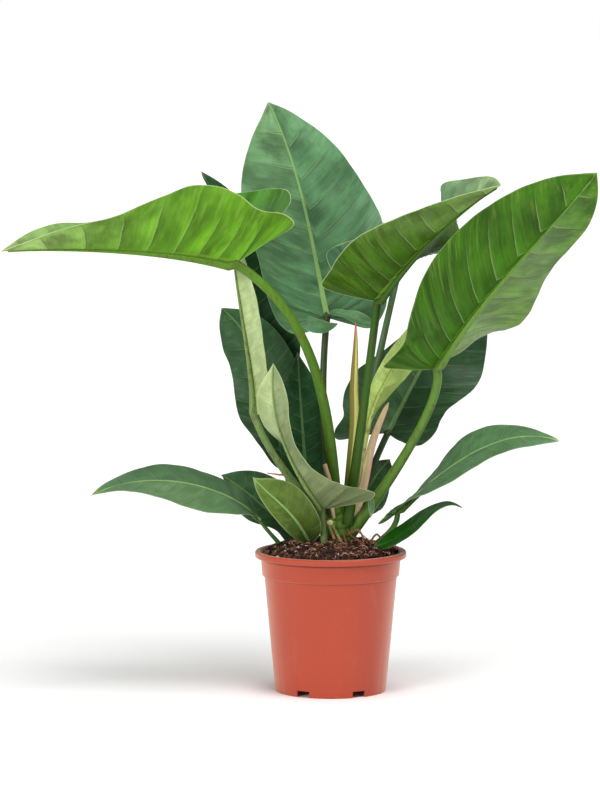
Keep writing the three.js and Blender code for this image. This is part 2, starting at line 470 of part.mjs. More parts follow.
/** The stalk of a leaf from its foot to the joint, and the midrib that carries on under the blade. */
function makeStalk(leaf, extra = 0, withMidrib = true) {
  const [foot, joint] = leaf.thick;
  const stalk = new THREE.CubicBezierCurve3(...leaf.stalk.map(vector));
  const path = [stalk.getPointAt(0).addScaledVector(stalk.getTangentAt(0), -extra)];
  const radii = [foot / 2 + extra];
  for (let i = 1; i <= leaf.steps; i += 1) {
    const t = i / leaf.steps;
    path.push(stalk.getPointAt(t));
    radii.push(mix(foot, joint, Math.min(t * 1.5, 1)) / 2 + extra);
  }
  const ribs = withMidrib ? Math.round(leaf.rows / 2) : 0;
  for (let i = 1; i <= ribs; i += 1) {
    const along = (0.92 * i) / ribs;
    const radius = mix(joint / 2, 0.9, Math.min(along * 1.15, 1) ** 0.6);
    const at = stationOf(leaf, along);
    path.push(at.origin.addScaledVector(at.up, -0.4 * radius));
    radii.push(radius);
  }
  return bar(path, radii, leaf.sides);
}

/** A thin strip along a path, bent to a channel whose back looks one way. */
function makeSheath({ path, width, open }) {
  const curve = new THREE.CatmullRomCurve3(path.map(vector));
  const rings = [];
  const [rows, columns] = [7, 4];
  for (let r = 0; r <= rows; r += 1) {
    const t = r / rows;
    const along = curve.getTangent(t);
    const back = vector(open).addScaledVector(along, -vector(open).dot(along)).normalize();
    const side = along.clone().cross(back);
    const half = reading(width, t) / 2;
    const arc = (depth) => Array.from({ length: columns + 1 }, (_, c) => {
      const angle = mix(-1, 1, c / columns);
      return curve.getPoint(t).addScaledVector(side, half * angle)
        .addScaledVector(back, depth - 0.35 * half * angle ** 2);
    });
    rings.push([...arc(BLADE / 2), ...arc(-BLADE / 2).reverse()]);
  }
  return ringed(rings);
}

function prepared(leaf) {
  const curve = new THREE.CubicBezierCurve3(...leaf.spine.map(vector));
  const length = curve.getLength();
  const big = Math.max(...leaf.half) > 75;
  return { ...leaf, curve, length, looks: leaf.face.map((f) => vector(f).normalize()), rows: big ? 14 : 10,
    columns: big ? 3 : 2, sides: 6, steps: big ? 8 : 6 };
}

/** A finished mesh of flat facets with its own material. */
function meshOf(name, solid, colour, roughness = 0.6) {
  const { points, triangles } = listed(solid);
  const geometry = new THREE.BufferGeometry().setFromPoints(triangles.flat().map((i) => points[i]));
  geometry.computeVertexNormals();
  const material = new THREE.MeshStandardMaterial({ color: colour, roughness, metalness: 0 });
  const mesh = new THREE.Mesh(geometry, material);
  mesh.name = name;
  return mesh;
}

const group = new THREE.Group();
group.name = 'potted_philodendron';
const leaves = LEAVES.map(prepared);
const stemRoom = makeStem(AIR);
const inSoil = leaves.filter((leaf) => leaf.stalk[0][2] < STEM.level - 10);
const rootBars = ROOTS.map((root) => bar(root.path.map(vector), root.radii, 6));
const rootHoles = ROOTS.map((root) => {
  const deeper = root.path.map(([x, y, z]) => new THREE.Vector3(x, y, z < STEM.level - 10 ? z - AIR : z));
  return bar(deeper, root.radii.map((r) => r + AIR + 0.1), 6);
});
const stalkHoles = inSoil.map((leaf) => makeStalk(leaf, AIR + 0.1, false));

group.add(meshOf('pot', makePot(), '#cd5b47', 0.5));
group.add(meshOf('soil', makeSoil([...stalkHoles, ...rootHoles]), '#4b2d26', 0.95));
group.add(meshOf('stem', makeStem(), '#7fa046', 0.6));
leaves.forEach((leaf) => {
  const whole = makeBlade(leaf).add(makeStalk(leaf)).simplify(SLIVER);
  group.add(meshOf(leaf.name, mainBody(whole.subtract(stemRoom)), GREEN[leaf.colour], 0.45));
});
const spike = bar(SPIKE.path.map(vector), SPIKE.radii, SPIKE.sides);
group.add(meshOf('spike', mainBody(spike.subtract(stemRoom)), SPIKE.colour, 0.5));
SHEATHS.forEach((sheath) => {
  group.add(meshOf(sheath.name, mainBody(makeSheath(sheath).subtract(stemRoom)), sheath.colour, 0.7));
});
ROOTS.forEach((root, i) => {
  group.add(meshOf(root.name, mainBody(rootBars[i].subtract(stemRoom)), '#7a5238', 0.9));
});
const twigHost = leaves.find((leaf) => leaf.name === 'leaf_left_narrow');
const twig = bar(TWIG.path.map(vector), TWIG.radii, 6).subtract(makeStalk(twigHost, AIR, false));
group.add(meshOf('twig', mainBody(twig), TWIG.colour, 0.9));

export default group;
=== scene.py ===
"""A potted philodendron: a plastic nursery pot of potting mix, a ringed stem and eighteen waved leaves.

The plant's front faces -Y, +Z is up, and the pot stands on z = 0. The tables of the plant's pieces are in
millimetres and degrees, and MM turns them to metres. The panel's settings, and the lengths in the operators
and the materials, are in metres.
"""

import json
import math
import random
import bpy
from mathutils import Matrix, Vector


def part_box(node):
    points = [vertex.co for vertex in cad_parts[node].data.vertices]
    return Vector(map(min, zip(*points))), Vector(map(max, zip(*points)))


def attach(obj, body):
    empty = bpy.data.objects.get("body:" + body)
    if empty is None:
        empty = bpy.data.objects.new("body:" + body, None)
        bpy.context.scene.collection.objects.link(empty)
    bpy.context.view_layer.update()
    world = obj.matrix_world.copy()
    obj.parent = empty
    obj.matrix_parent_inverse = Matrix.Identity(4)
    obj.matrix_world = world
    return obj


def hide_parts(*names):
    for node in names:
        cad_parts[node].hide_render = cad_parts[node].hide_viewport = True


bl_info = {
    "name": "Potted Philodendron",
    "version": (1, 0, 0),
    "blender": (4, 5, 0),
    "location": "3D View > Sidebar > Philodendron",
    "description": "Builds a potted philodendron piece by piece, with its studio stage",
    "category": "Add Mesh",
}

import bpy
import numpy as np
from bpy.props import FloatProperty, FloatVectorProperty, IntProperty, PointerProperty
from mathutils import Matrix, Vector, noise

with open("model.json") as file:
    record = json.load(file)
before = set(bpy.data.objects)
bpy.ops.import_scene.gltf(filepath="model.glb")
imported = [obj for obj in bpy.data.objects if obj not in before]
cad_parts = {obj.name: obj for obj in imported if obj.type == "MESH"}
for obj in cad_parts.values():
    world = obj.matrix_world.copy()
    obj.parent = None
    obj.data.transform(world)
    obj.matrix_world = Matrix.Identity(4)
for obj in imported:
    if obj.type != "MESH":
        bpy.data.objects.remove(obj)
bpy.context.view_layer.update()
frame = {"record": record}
MM = 0.001
BODY = "root"

# Half outlines of a blade as (along, across) shares of its length and half width, from joint to tip.
OUTLINES = {
    "heart": ((0, 0), (-0.10, 0.28), (-0.12, 0.62), (0, 0.90), (0.19, 1), (0.42, 0.94), (0.65, 0.70),
              (0.84, 0.36), (0.95, 0.10), (1, 0)),
    "oblong": ((0, 0), (-0.06, 0.30), (-0.06, 0.58), (0.04, 0.80), (0.20, 0.94), (0.38, 1), (0.56, 0.97),
               (0.73, 0.80), (0.87, 0.50), (0.96, 0.17), (1, 0)),
    "lance": ((0, 0.05), (0.06, 0.34), (0.18, 0.70), (0.34, 0.94), (0.50, 1), (0.68, 0.84), (0.85, 0.48),
              (0.95, 0.16), (1, 0)),
    "winged": ((0, 0), (-0.1, 0.31), (-0.21, 0.62), (-0.165, 0.74), (-0.06, 0.73), (0.02, 0.83),
               (0.12, 0.9), (0.24, 0.88), (0.34, 0.76), (0.46, 0.62), (0.57, 0.5), (0.68, 0.44),
               (0.8, 0.32), (0.92, 0.13), (1, 0)),
    "looped": ((0, 0), (-0.08, 0.48), (-0.13, 0.82), (-0.145, 0.99), (-0.12, 1.1), (-0.06, 1.07),
               (0.01, 0.99), (0.09, 0.93), (0.19, 0.92), (0.32, 0.96), (0.46, 0.85), (0.6, 0.66),
               (0.75, 0.53), (0.89, 0.3), (1, 0)),
    "curled": ((0, 0), (-0.08, 0.46), (-0.13, 0.8), (-0.145, 1), (-0.12, 1.12), (-0.06, 1.1), (0.01, 1.02),
               (0.09, 0.96), (0.19, 0.95), (0.34, 0.96), (0.52, 0.88), (0.7, 0.66), (0.85, 0.44),
               (0.95, 0.22), (1, 0)),
    "slanted": ((0, 0), (0.02, 0.1), (0.05, 0.3), (0.09, 0.6), (0.16, 0.88), (0.28, 1), (0.4, 1),
                (0.54, 0.97), (0.68, 0.84), (0.82, 0.6), (0.93, 0.28), (1, 0)),
    "crumpled": ((0, 0), (-0.01, 0.3), (-0.015, 0.58), (-0.02, 0.84), (0.03, 0.78), (0.08, 0.78),
                 (0.16, 0.87), (0.28, 0.97), (0.42, 1), (0.57, 0.97), (0.73, 0.8), (0.87, 0.5),
                 (0.96, 0.17), (1, 0)),
    "blunt": ((0, 0), (-0.02, 0.3), (-0.04, 0.62), (-0.03, 0.77), (0.05, 0.8), (0.13, 0.85), (0.26, 0.95),
              (0.4, 1), (0.57, 0.91), (0.73, 0.72), (0.87, 0.44), (0.96, 0.16), (1, 0)),
    "spoon": ((0, 0), (0, 0.14), (0.03, 0.34), (0.09, 0.58), (0.19, 0.82), (0.32, 1.02), (0.45, 1),
              (0.58, 0.9), (0.68, 0.82), (0.78, 0.8), (0.88, 0.6), (0.95, 0.34), (1, 0)),
    "eared": ((0, 0), (-0.08, 0.12), (-0.11, 0.26), (-0.04, 0.26), (0.06, 0.34), (0.18, 0.7), (0.34, 0.94),
              (0.5, 1), (0.68, 0.88), (0.85, 0.54), (0.95, 0.2), (1, 0)),
    "flared": ((0, 0), (-0.06, 0.42), (-0.08, 0.8), (-0.02, 0.98), (0.06, 0.88), (0.14, 0.66),
               (0.23, 0.49), (0.34, 0.39), (0.48, 0.35), (0.62, 0.34), (0.76, 0.29), (0.9, 0.16), (1, 0)),
    "tapered": ((0, 0), (-0.06, 0.28), (-0.1, 0.55), (-0.02, 0.76), (0.12, 0.88), (0.28, 0.95), (0.4, 1),
                (0.52, 0.93), (0.64, 0.8), (0.74, 0.66), (0.84, 0.49), (0.94, 0.25), (1, 0)),
}

# The pale green that paints light on the halves of a blade and pales its side veins, and the yellower painted
# highlight of an underside.
PAINTED_LIGHT_AND_VEIN_GREEN = (0.50, 0.60, 0.27, 1.0)
PAINTED_UNDER_HIGHLIGHT = (0.36, 0.56, 0.10, 1.0)

# How much painted light each half of a blade has, from joint to tip, as a share of the pale green. Below 0,
# its colour is darkened instead, as painted shade.
PAINTED_HALF_LIGHT = {
    "leaf_back_tall": ((-0.30, 0.0, 0.06, 0.12), (-0.45, -0.10, -0.02, 0.05)),
    "leaf_left_level": ((-0.08, 0.0, 0.10, 0.48), (-0.1, 0.0, 0.10, 0.45)),
    "leaf_centre_out": ((-0.15, -0.3, 0.10, 0.50), (-0.25, -0.1, 0.06, 0.22)),
    "leaf_right_big": ((0.36, 0.20, 0.14, 0.0), (-0.15, -0.22, -0.10, -0.04)),
    "leaf_right_back": ((0.05, 0.0, -0.05, 0.0), (-0.35, -0.5, -0.5, -0.4)),
    "leaf_left_back": ((-0.35, -0.35, -0.25, 0.0), (-0.5, -0.45, -0.3, -0.1)),
    "leaf_front_pale": ((-0.68, -0.52, -0.50, -0.35), (-0.68, -0.52, -0.15, 0.15)),
    "leaf_low_left_front": ((-0.5, -0.3, -0.1, 0.12), (-0.6, -0.4, -0.2, 0.0)),
    "leaf_low_left_long": ((0.0, 0.04, 0.08, 0.0), (-0.2, -0.15, -0.1, -0.1)),
}

# How far a side vein runs on to the tip per width, from joint to tip, where it isn't the usual slant.
SLANTS = {"leaf_left_level": (-0.50, -0.30, 0.10, 0.45)}

# How deep the pleats and side veins are on the softer leaves; 1 on the others.
RELIEF = {"young": 0.35, "pale": 0.25, "low": 0.30, "glossy": 0.05, "leafy": 0.50, "dark": 0.60,
          "darkest": 0.60}

# How plainly the pale margin shows on each leaf colour. The midrib is dim where it hardly shows.
EDGING = {"blue": 0.25, "bright": 0.75, "olive": 0.70, "fresh": 0.30, "grey": 0.50, "dark": 0.06,
          "darkest": 0.04, "young": 0.35, "pale": 0.60, "low": 0.25, "glossy": 0.12, "leafy": 0.35}

# Leaf colours as the eye sees them, 0 to 255: upper side, underside, and stalk. The bright underside is
# lighter to paint the light that shines through the leaf, the grey upper side is paled by a painted sheen,
# and the dark and darkest rows, for leaves behind the others, are darkened by painted shade.
TINTS = {
    "blue": ((91, 135, 93), (120, 160, 90), (58, 84, 48)),
    "bright": ((74, 132, 40), (92, 146, 26), (86, 130, 30)),
    "olive": ((84, 132, 96), (69, 109, 22), (56, 96, 22)),
    "fresh": ((80, 128, 60), (62, 112, 14), (94, 134, 50)),
    "grey": ((166, 188, 146), (60, 110, 40), (84, 116, 76)),
    "dark": ((66, 102, 66), (70, 100, 70), (50, 76, 40)),
    "darkest": ((37, 74, 42), (50, 80, 50), (50, 80, 40)),
    "young": ((176, 206, 110), (190, 216, 122), (190, 205, 110)),
    "pale": ((126, 166, 88), (176, 194, 136), (118, 144, 82)),
    "low": ((86, 122, 82), (110, 150, 90), (70, 116, 46)),
    "glossy": ((23, 83, 10), (110, 150, 80), (60, 104, 40)),
    "leafy": ((98, 124, 50), (120, 160, 90), (80, 130, 50)),
}

# Every leaf. colour: its row in TINTS. spine: four handles of the midrib's curve from joint to tip. stalk:
# four handles from its foot to the joint. thick: the stalk's thickness there. face: the way the upper side
# looks at the joint and at the tip. lobe: how far the lobes reach behind the joint, as a share of the
# outline's. The rest has one entry for each half of the blade, first the half to the left of a walker on the
# upper side. outline: its name in OUTLINES. half: its width. fold: how far it is turned up from flat, at
# even stations from joint to tip. curl: how much further its edge is turned up, at the joint and at the tip.
# rim: the same for its outer three tenths, at even stations. wave: height, number and start of its waves.
LEAVES = (
    dict(name="leaf_back_tall", colour="blue", outline=("oblong", "tapered"), lobe=0.8, half=(95, 107),
         spine=((-5, 60, 514), (-24, 80, 608), (-41, 76, 723), (-87, 80, 814)),
         face=((0.2, -0.93, 0.28), (0.3, -0.86, 0.4)), fold=((10, 15, 5, -5), (14, 8, -4, -12)),
         curl=((0, -5), (-5, -12)), wave=((5, 2.5, 0.1), (6, 2.5, 0.4)),
         stalk=((6, 12, 248), (-9, 22, 290), (-16, 55, 410), (-5, 60, 514)), thick=(14, 9.5)),
    dict(name="leaf_left_level", colour="bright", outline=("winged", "looped"), half=(119, 122),
         spine=((-130, -40, 595), (-215, -30, 614), (-335, -95, 622), (-447, -90, 615)),
         face=((0.1, 0.1, 1), (0, -0.05, 1)), fold=((62, 60, 44, 30), (60, 46, 24, 22, 30, 38)),
         curl=((5, 0), (0, 0)), wave=((2, 2.5, 0), (4, 2.5, 0.3)),
         stalk=((8, -8, 250), (-2, -24, 375), (-10, -36, 520), (-130, -40, 595)), thick=(17, 13)),
    dict(name="leaf_centre_out", colour="olive", outline=("curled", "blunt"), half=(96, 104),
         spine=((63, -60, 545), (101, -127, 604), (158, -163, 668), (221, -224, 709)),
         face=((-0.23, -0.11, 0.97), (-0.05, -0.1, 1)), fold=((84, 24, -6, 48, 44, 48), (45, 34, 22, 17)),
         curl=((4, -5), (-3, -8)), wave=((3, 2.5, 0.2), (2, 2.5, 0.6)), rim=((50, 20, 0, 0, 0, 0), (0, 0)),
         stalk=((23, -10, 234), (33, -28, 304), (56, -54, 485), (63, -60, 545)), thick=(16, 11)),
    dict(name="leaf_right_big", colour="fresh", outline=("slanted", "crumpled"), half=(110, 106),
         spine=((143, -80, 455), (205, -135, 566), (284, -75, 627), (359, -80, 721)),
         face=((-0.42, 0.73, 0.55), (-0.44, 0.73, 0.52)), fold=((35, 15, 15, 0), (0, 15, 12, 5)),
         curl=((-2, -3), (-8, 0)), wave=((5, 3, 0.1), (4, 3, 0.5)),
         stalk=((26, 4, 216), (72, -22, 280), (158, -66, 412), (143, -80, 455)), thick=(18, 12)),
    dict(name="leaf_back_level", colour="grey", outline=("heart", "heart"), lobe=0.5, half=(72, 78),
         spine=((108, 118, 622), (104, 190, 634), (90, 280, 640), (70, 357, 628)),
         face=((0, -0.25, 0.97), (0.04, 0, 1)), fold=((18, 12, 6, 0), (18, 12, 6, 0)),
         curl=((0, 0), (0, 0)), wave=((5, 2.5, 0.2), (5, 2.5, 0.7)),
         stalk=((17, 16, 246), (54, 30, 392), (80, -28, 540), (108, 118, 622)), thick=(13, 9)),
    dict(name="leaf_right_back", colour="dark", outline=("winged", "oblong"), lobe=0.9, half=(90, 80),
         spine=((80, 58, 352), (110, 113, 400), (150, 63, 500), (212, 93, 566)),
         face=((0.05, -0.97, 0.25), (0.35, -0.9, -0.1)), fold=((0, 3, 0, -3), (25, 40, 0, -10)),
         curl=((0, 5), (10, -5)), wave=((5, 3, 0.3), (6, 3, 0)),
         stalk=((23, 17, 226), (50, 30, 286), (66, 46, 325), (80, 58, 352)), thick=(13, 9)),
    dict(name="leaf_young_right", colour="young", outline=("lance", "lance"), half=(45, 18),
         spine=((51, 0, 363), (56, 7, 412), (107, -14, 485), (149, -21, 544)),
         face=((-0.17, 0.84, 0.52), (-0.1, 0.88, 0.46)), fold=((60, 40, 30, 30), (20, 15, 10, 10)),
         curl=((-5, -8), (0, 0)), wave=((0, 1, 0), (0, 1, 0)),
         stalk=((25, 5, 242), (34, 6, 276), (46, 0, 330), (51, 0, 363)), thick=(9, 6)),
    dict(name="leaf_left_back", colour="dark", outline=("spoon", "oblong"), half=(47, 52),
         spine=((-61, 60, 300), (-84, 80, 385), (-96, 130, 480), (-153, 90, 525)),
         face=((0.25, -0.92, 0.3), (0.05, -0.98, 0.15)), fold=((25, 0, -15, -10), (10, 10, 10, 10)),
         curl=((5, -10), (0, 5)), wave=((4, 3, 0.2), (4, 3, 0.6)),
         stalk=((0, 9, 214), (-18, 28, 240), (-46, 50, 268), (-61, 60, 300)), thick=(10, 7)),
    dict(name="leaf_left_far", colour="darkest", outline=("oblong", "oblong"), half=(24, 57),
         spine=((-82, 125, 385), (-86, 165, 481), (-121, 148, 607), (-182, 152, 715)),
         face=((-0.25, -0.93, 0.18), (0.45, -0.75, 0.45)), fold=((40, 50, 50, 40), (30, 10, 0, -5)),
         curl=((0, 5), (5, -5)), wave=((4, 2.5, 0.4), (4, 2.5, 0.1)),
         stalk=((9, 17, 232), (-8, 66, 248), (-66, 135, 323), (-82, 125, 385)), thick=(11, 8)),
    dict(name="leaf_left_inner", colour="darkest", outline=("heart", "heart"), half=(42, 44),
         spine=((-34, 40, 286), (-38, 48, 341), (-43, 75, 404), (-46, 62, 466)),
         face=((0.3, -0.9, 0.26), (0.17, -0.95, 0.26)), fold=((20, 14, 9, 7), (9, 3, 1, 4)),
         curl=((6, 2), (-2, -2)), wave=((3, 2.5, 0.2), (3, 2.5, 0.6)),
         stalk=((0, 10, 236), (-8, 20, 254), (-22, 36, 262), (-34, 40, 286)), thick=(9, 7)),
    dict(name="leaf_left_narrow", colour="pale", outline=("lance", "lance"), half=(38, 34),
         spine=((-105, 10, 379), (-103, 30, 443), (-127, -10, 528), (-138, 0, 640)),
         face=((0.9, 0.42, -0.05), (0.93, 0.3, 0.2)), fold=((50, 14, 32, 40), (60, 60, 60, 60)),
         curl=((-5, -8), (0, 0)), wave=((3, 2, 0.5), (0, 1, 0)),
         stalk=((0, -1, 228), (-26, 0, 262), (-80, 6, 312), (-105, 10, 379)), thick=(16, 10)),
    dict(name="leaf_front_pale", colour="pale", outline=("flared", "heart"), lobe=0.6, half=(82, 55),
         spine=((-12, -40, 257), (-60, -95, 330), (-86, -55, 384), (-79, -75, 462)),
         face=((0.25, 0.65, 0.7), (0.03, 0.8, 0.6)), fold=((20, -18, -22, 0), (70, 70, 35, 0)),
         curl=((-8, -10), (0, -5)), wave=((3, 2, 0.3), (2, 2, 0)),
         stalk=((-7, -22, 184), (-7, -22, 204), (-14, -33, 240), (-12, -40, 257)), thick=(11, 9)),
    dict(name="leaf_low_left_long", colour="low", outline=("lance", "lance"), half=(58, 52),
         spine=((-98, -6, 238), (-145, -46, 297), (-256, -16, 313), (-330, -31, 275)),
         face=((0, -0.55, 0.83), (-0.25, -0.2, 0.95)), fold=((30, 0, 0, 15), (10, -12, 8, 5)),
         curl=((5, 0), (-5, -3)), wave=((3, 2, 0.1), (3, 2, 0.5)),
         stalk=((-62, 2, 182), (-63, 2, 202), (-83, -3, 214), (-98, -6, 238)), thick=(8, 5.5)),
    dict(name="leaf_low_left_round", colour="dark", outline=("heart", "heart"), half=(38, 52),
         spine=((-59, 40, 212), (-86, 58, 245), (-122, 76, 273), (-153, 53, 294)),
         face=((0.35, -0.8, 0.46), (0.05, -0.95, 0.28)), fold=((42, 16, 6, 3), (8, 0, 0, 7)),
         curl=((8, 0), (-4, -2)), wave=((3, 2, 0.3), (3, 2, 0.8)),
         stalk=((-40, 38, 180), (-42, 38, 196), (-50, 39, 204), (-59, 40, 212)), thick=(7, 5)),
    dict(name="leaf_low_left_front", colour="leafy", outline=("lance", "lance"), half=(22, 39),
         spine=((-30, -18, 208), (-52, -70, 262), (-76, -35, 266), (-107, -60, 304)),
         face=((-0.1, -0.9, 0.4), (-0.1, -0.9, 0.4)), fold=((20, 20, 10, 0), (35, 35, 30, 20)),
         curl=((5, 0), (15, 10)), wave=((2, 2, 0), (2, 2, 0.4)),
         stalk=((-28, -14, 180), (-28, -15, 192), (-28, -17, 200), (-30, -18, 208)), thick=(8, 6)),
    dict(name="leaf_low_right_long", colour="low", outline=("lance", "eared"), half=(49, 52),
         spine=((92, -10, 250), (149, -55, 311), (231, -40, 380), (312, -52, 353)),
         face=((0.07, -0.33, 0.94), (0.02, -0.44, 0.9)), fold=((0, -5, 5, 5), (22, 12, 10, -5)),
         curl=((-8, -4), (5, -5)), wave=((3, 2, 0.2), (3, 2, 0.7)),
         stalk=((47, 8, 182), (50, 8, 200), (95, -7, 218), (92, -10, 250)), thick=(12, 8)),
    dict(name="leaf_low_right_short", colour="glossy", outline=("lance", "lance"), half=(27, 34),
         spine=((61, -24, 204), (103, -28, 206), (141, -63, 290), (179, -68, 263)),
         face=((0, -0.52, 0.86), (0.1, -0.26, 0.96)), fold=((25, 5, -5, 5), (20, 10, 5, 5)),
         curl=((-4, -8), (-3, -4)), wave=((2, 2, 0.1), (2, 2, 0.6)),
         stalk=((54, -20, 180), (55, -21, 188), (57, -22, 196), (61, -24, 204)), thick=(7, 5)),
    dict(name="leaf_low_right_back", colour="dark", outline=("heart", "heart"), half=(29, 31),
         spine=((41, 34, 250), (51, 55, 269), (60, 30, 297), (84, 70, 314)),
         face=((-0.05, -0.95, 0.3), (-0.05, -0.95, 0.31)), fold=((10, 8, 5, 0), (15, 12, 10, 8)),
         curl=((0, -3), (3, 2)), wave=((2, 2, 0.3), (2, 2, 0.8)),
         stalk=((26, 15, 205), (32, 20, 226), (34, 30, 236), (41, 34, 250)), thick=(7, 5)),
)

# What a leaf has where its entry doesn't say.
PLAIN = dict(lobe=1, rim=((0, 0), (0, 0)))

# Ears: small twisted lobes at a blade's joint or at its lobe's end, each made as a little blade.
EAR = dict(outline=("lance", "lance"), relief=0.05)
EARS = {
    "leaf_back_tall": (
        dict(spine=((-50, 56, 520), (-32, 44, 506), (-8, 38, 499), (10, 50, 507)), half=(9, 12),
             face=((0.1, -0.95, 0.3), (-0.1, -0.9, -0.4)), fold=((30, 10, -10, 20), (10, 20, 30, 10)),
             wave=((1.5, 2, 0), (1.5, 2, 0.4))),
        dict(spine=((-2, 56, 522), (20, 40, 520), (42, 36, 510), (66, 54, 504)), half=(12, 10),
             face=((0.1, -0.7, 0.7), (0.1, -0.95, 0.3)), fold=((20, 0, 20, 0), (30, 40, 20, 10)),
             wave=((2, 2, 0), (1.5, 2, 0.4))),
    ),
    "leaf_front_pale": (
        dict(spine=((51, -52, 283), (56, -56, 272), (57, -54, 258), (54, -48, 247)), half=(4, 5),
             face=((0.2, -0.95, 0.1), (0.1, -0.95, -0.2)), fold=((20, 10, 10, 20), (20, 10, 10, 20)),
             wave=((0.5, 2, 0), (0.5, 2, 0.4)), colour="blue"),
    ),
}

# The rolled leaf: its middle line and radii from foot to tip.
SPIKE = dict(path=((20, 1, 250), (24, -2, 285), (32, -4, 370), (32, -4, 424), (34, -4, 480), (34, -4, 513)),
             radii=(4, 5.6, 6.4, 6, 3.4, 0.7))

# The papery sheaths: the way the open side looks, widths and middle line from foot to end, how much narrower
# the end itself is, and how green it is all over and in a stripe.
SHEATHS = (
    dict(name="sheath_long", open=(0.35, -1, 0), width=(6, 10, 12, 11, 6), taper=0.75, green=(0, 1),
         path=((27, -2, 240), (38, -2, 256), (47, 1, 289), (59, 5, 347), (80, 10, 400))),
    dict(name="sheath_short", open=(-0.3, -1, 0), width=(4, 5, 6.5, 6.5, 6), taper=0, green=(0.15, 0),
         path=((5, -10, 240), (2, -21, 256), (0, -23, 280), (-3, -24, 298), (-9, -23, 318))),
)

# The aerial roots: radii and middle line, both ends in the soil or in the stem.
ROOTS = (
    dict(name="root_front", radii=(1.6, 1.6, 1.6, 1.5, 1.4, 1.3),
         path=((22, -6, 216), (30, -20, 223), (37, -27, 227), (43, -30, 220), (45, -30, 208),
               (45, -30, 188))),
    dict(name="root_right", radii=(1.3, 1.4, 1.5, 1.4, 1.4, 1.3, 1.2),
         path=((55, -12, 186), (56, -12, 208), (63, -12, 219), (71, -10, 213), (79, -12, 221),
               (84, -12, 209), (84, -12, 186))),
)

# Thinner side roots beside each of them.
STRANDS = {
    "root_front": (((23, -14, 226), (29, -24, 218), (38, -30, 214), (46, -33, 207), (52, -35, 201)),
                   ((18, -13, 219), (20, -26, 212), (27, -34, 205), (36, -38, 202))),
    "root_right": (((40, -6, 220), (47, -14, 216), (54, -20, 210), (60, -24, 203)),
                   ((84, -12, 209), (90, -14, 203), (94, -12, 197))),
}

# The dry leaf stalk at the left of the crown.
TWIG = dict(name="twig", path=((-88, 0, 303), (-76, 1, 301), (-66, 3, 300)), radii=(0.7, 1.1, 1.6))

# The stem: its middle line, its radius, and the heights of its foot, of its lowest ring and of its top.
STEM = dict(x=12, y=4, radius=18, foot=150, level=206, top=259)

# Its outline above the lowest ring: how far inside the radius, and how far up.
RINGS = ((1, 0), (0, 3), (1.6, 7), (1.2, 9), (0, 14), (1.6, 19), (1.2, 21), (0.4, 26), (2, 31), (1.5, 33),
         (1.5, 38), (4, 45), (10, 51))

# How far up the brown leaf scars are.
SCARS = (9, 21, 33)

# Stubs of old stalks on the stem: middle line and radii.
STUBS = ((((-6, -15, 238), (-1, -19, 228), (5, -20, 214)), (1.6, 2.1, 2.4)),
         (((2, -17, 232), (8, -21, 222), (15, -21, 208)), (1.6, 2.2, 2.4)))

# A blade shorter than this has fewer faces, shallower pleats and closer side veins.
SMALL_BLADE = 200


class PotSettings(bpy.types.PropertyGroup):
    """Sizes and colour of the nursery pot"""

    height: FloatProperty(name="Height", description="Floor to the top of the lip",
                          default=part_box("pot")[1].z, unit="LENGTH")
    base: FloatProperty(name="Base radius", description="Outside radius at the feet", default=0.077,
                        unit="LENGTH")
    shoulder: FloatProperty(name="Shoulder radius", description="Outside radius just under the collar",
                            default=0.092, unit="LENGTH")
    neck: FloatProperty(name="Neck radius", description="Outside radius just under the lip", default=0.097,
                        unit="LENGTH")
    lip: FloatProperty(name="Lip radius", description="Outside radius of the lip", default=0.105,
                       unit="LENGTH")
    wall: FloatProperty(name="Wall", description="Thickness of the plastic", default=0.0016, unit="LENGTH")
    colour: FloatVectorProperty(name="Plastic", description="Colour of the moulded plastic", size=3,
                                subtype="COLOR", min=0, max=1, default=(0.45, 0.068, 0.034))


class SoilSettings(bpy.types.PropertyGroup):
    """Surface of the potting mix"""

    middle: FloatProperty(name="Middle height", description="Height of the heap by the stem", default=0.208,
                          unit="LENGTH")
    fall: FloatProperty(name="Fall", description="How much lower the heap is at the pot's wall",
                        default=0.018, unit="LENGTH")
    crumbs: IntProperty(name="Crumbs", description="Loose crumbs of peat on the heap", default=1700)
    fibres: IntProperty(name="Fibres", description="Loose fibres on the heap", default=560)


class LeafSettings(bpy.types.PropertyGroup):
    """Fineness and relief of the blades"""

    thickness: FloatProperty(name="Thickness", description="Thickness of a blade", default=0.0007,
                             unit="LENGTH")
    vein_slant: FloatProperty(name="Vein slant", description="How far a side vein runs on per width",
                              default=0.42)
    vein_gap: FloatProperty(name="Vein spacing", description="Distance between side veins on a big leaf",
                            default=0.040, unit="LENGTH")
    pleat: FloatProperty(name="Pleats", description="Depth of the folds between side veins", default=0.0026,
                         unit="LENGTH")
    rows: IntProperty(name="Rows", description="Rows of faces from joint to tip", default=110)
    columns: IntProperty(name="Columns", description="Columns of faces on each half", default=15)


class StageSettings(bpy.types.PropertyGroup):
    """Camera and studio"""

    distance: FloatProperty(name="Distance", description="Camera to the plant's middle plane", default=5.0,
                            unit="LENGTH")
    height: FloatProperty(name="Height", description="Camera above the floor", default=0.886, unit="LENGTH")
    aside: FloatProperty(name="Aside", description="Camera to the right of the pot", default=-0.0426,
                         unit="LENGTH")
    tilt: FloatProperty(name="Tilt", description="Camera tipped down", default=math.radians(5.5),
                        subtype="ANGLE")
    lens: FloatProperty(name="Lens", description="Focal length in millimetres", default=163.6)
    floor_size: FloatProperty(name="Floor", description="Side of the floor", default=120.0, unit="LENGTH")


def paint(red, green, blue):
    """A linear colour from its 0 to 255 values as the eye sees it."""
    def linear(value):
        share = value / 255
        return share / 12.92 if share <= 0.04045 else ((share + 0.055) / 1.055) ** 2.4
    return (linear(red), linear(green), linear(blue), 1.0)


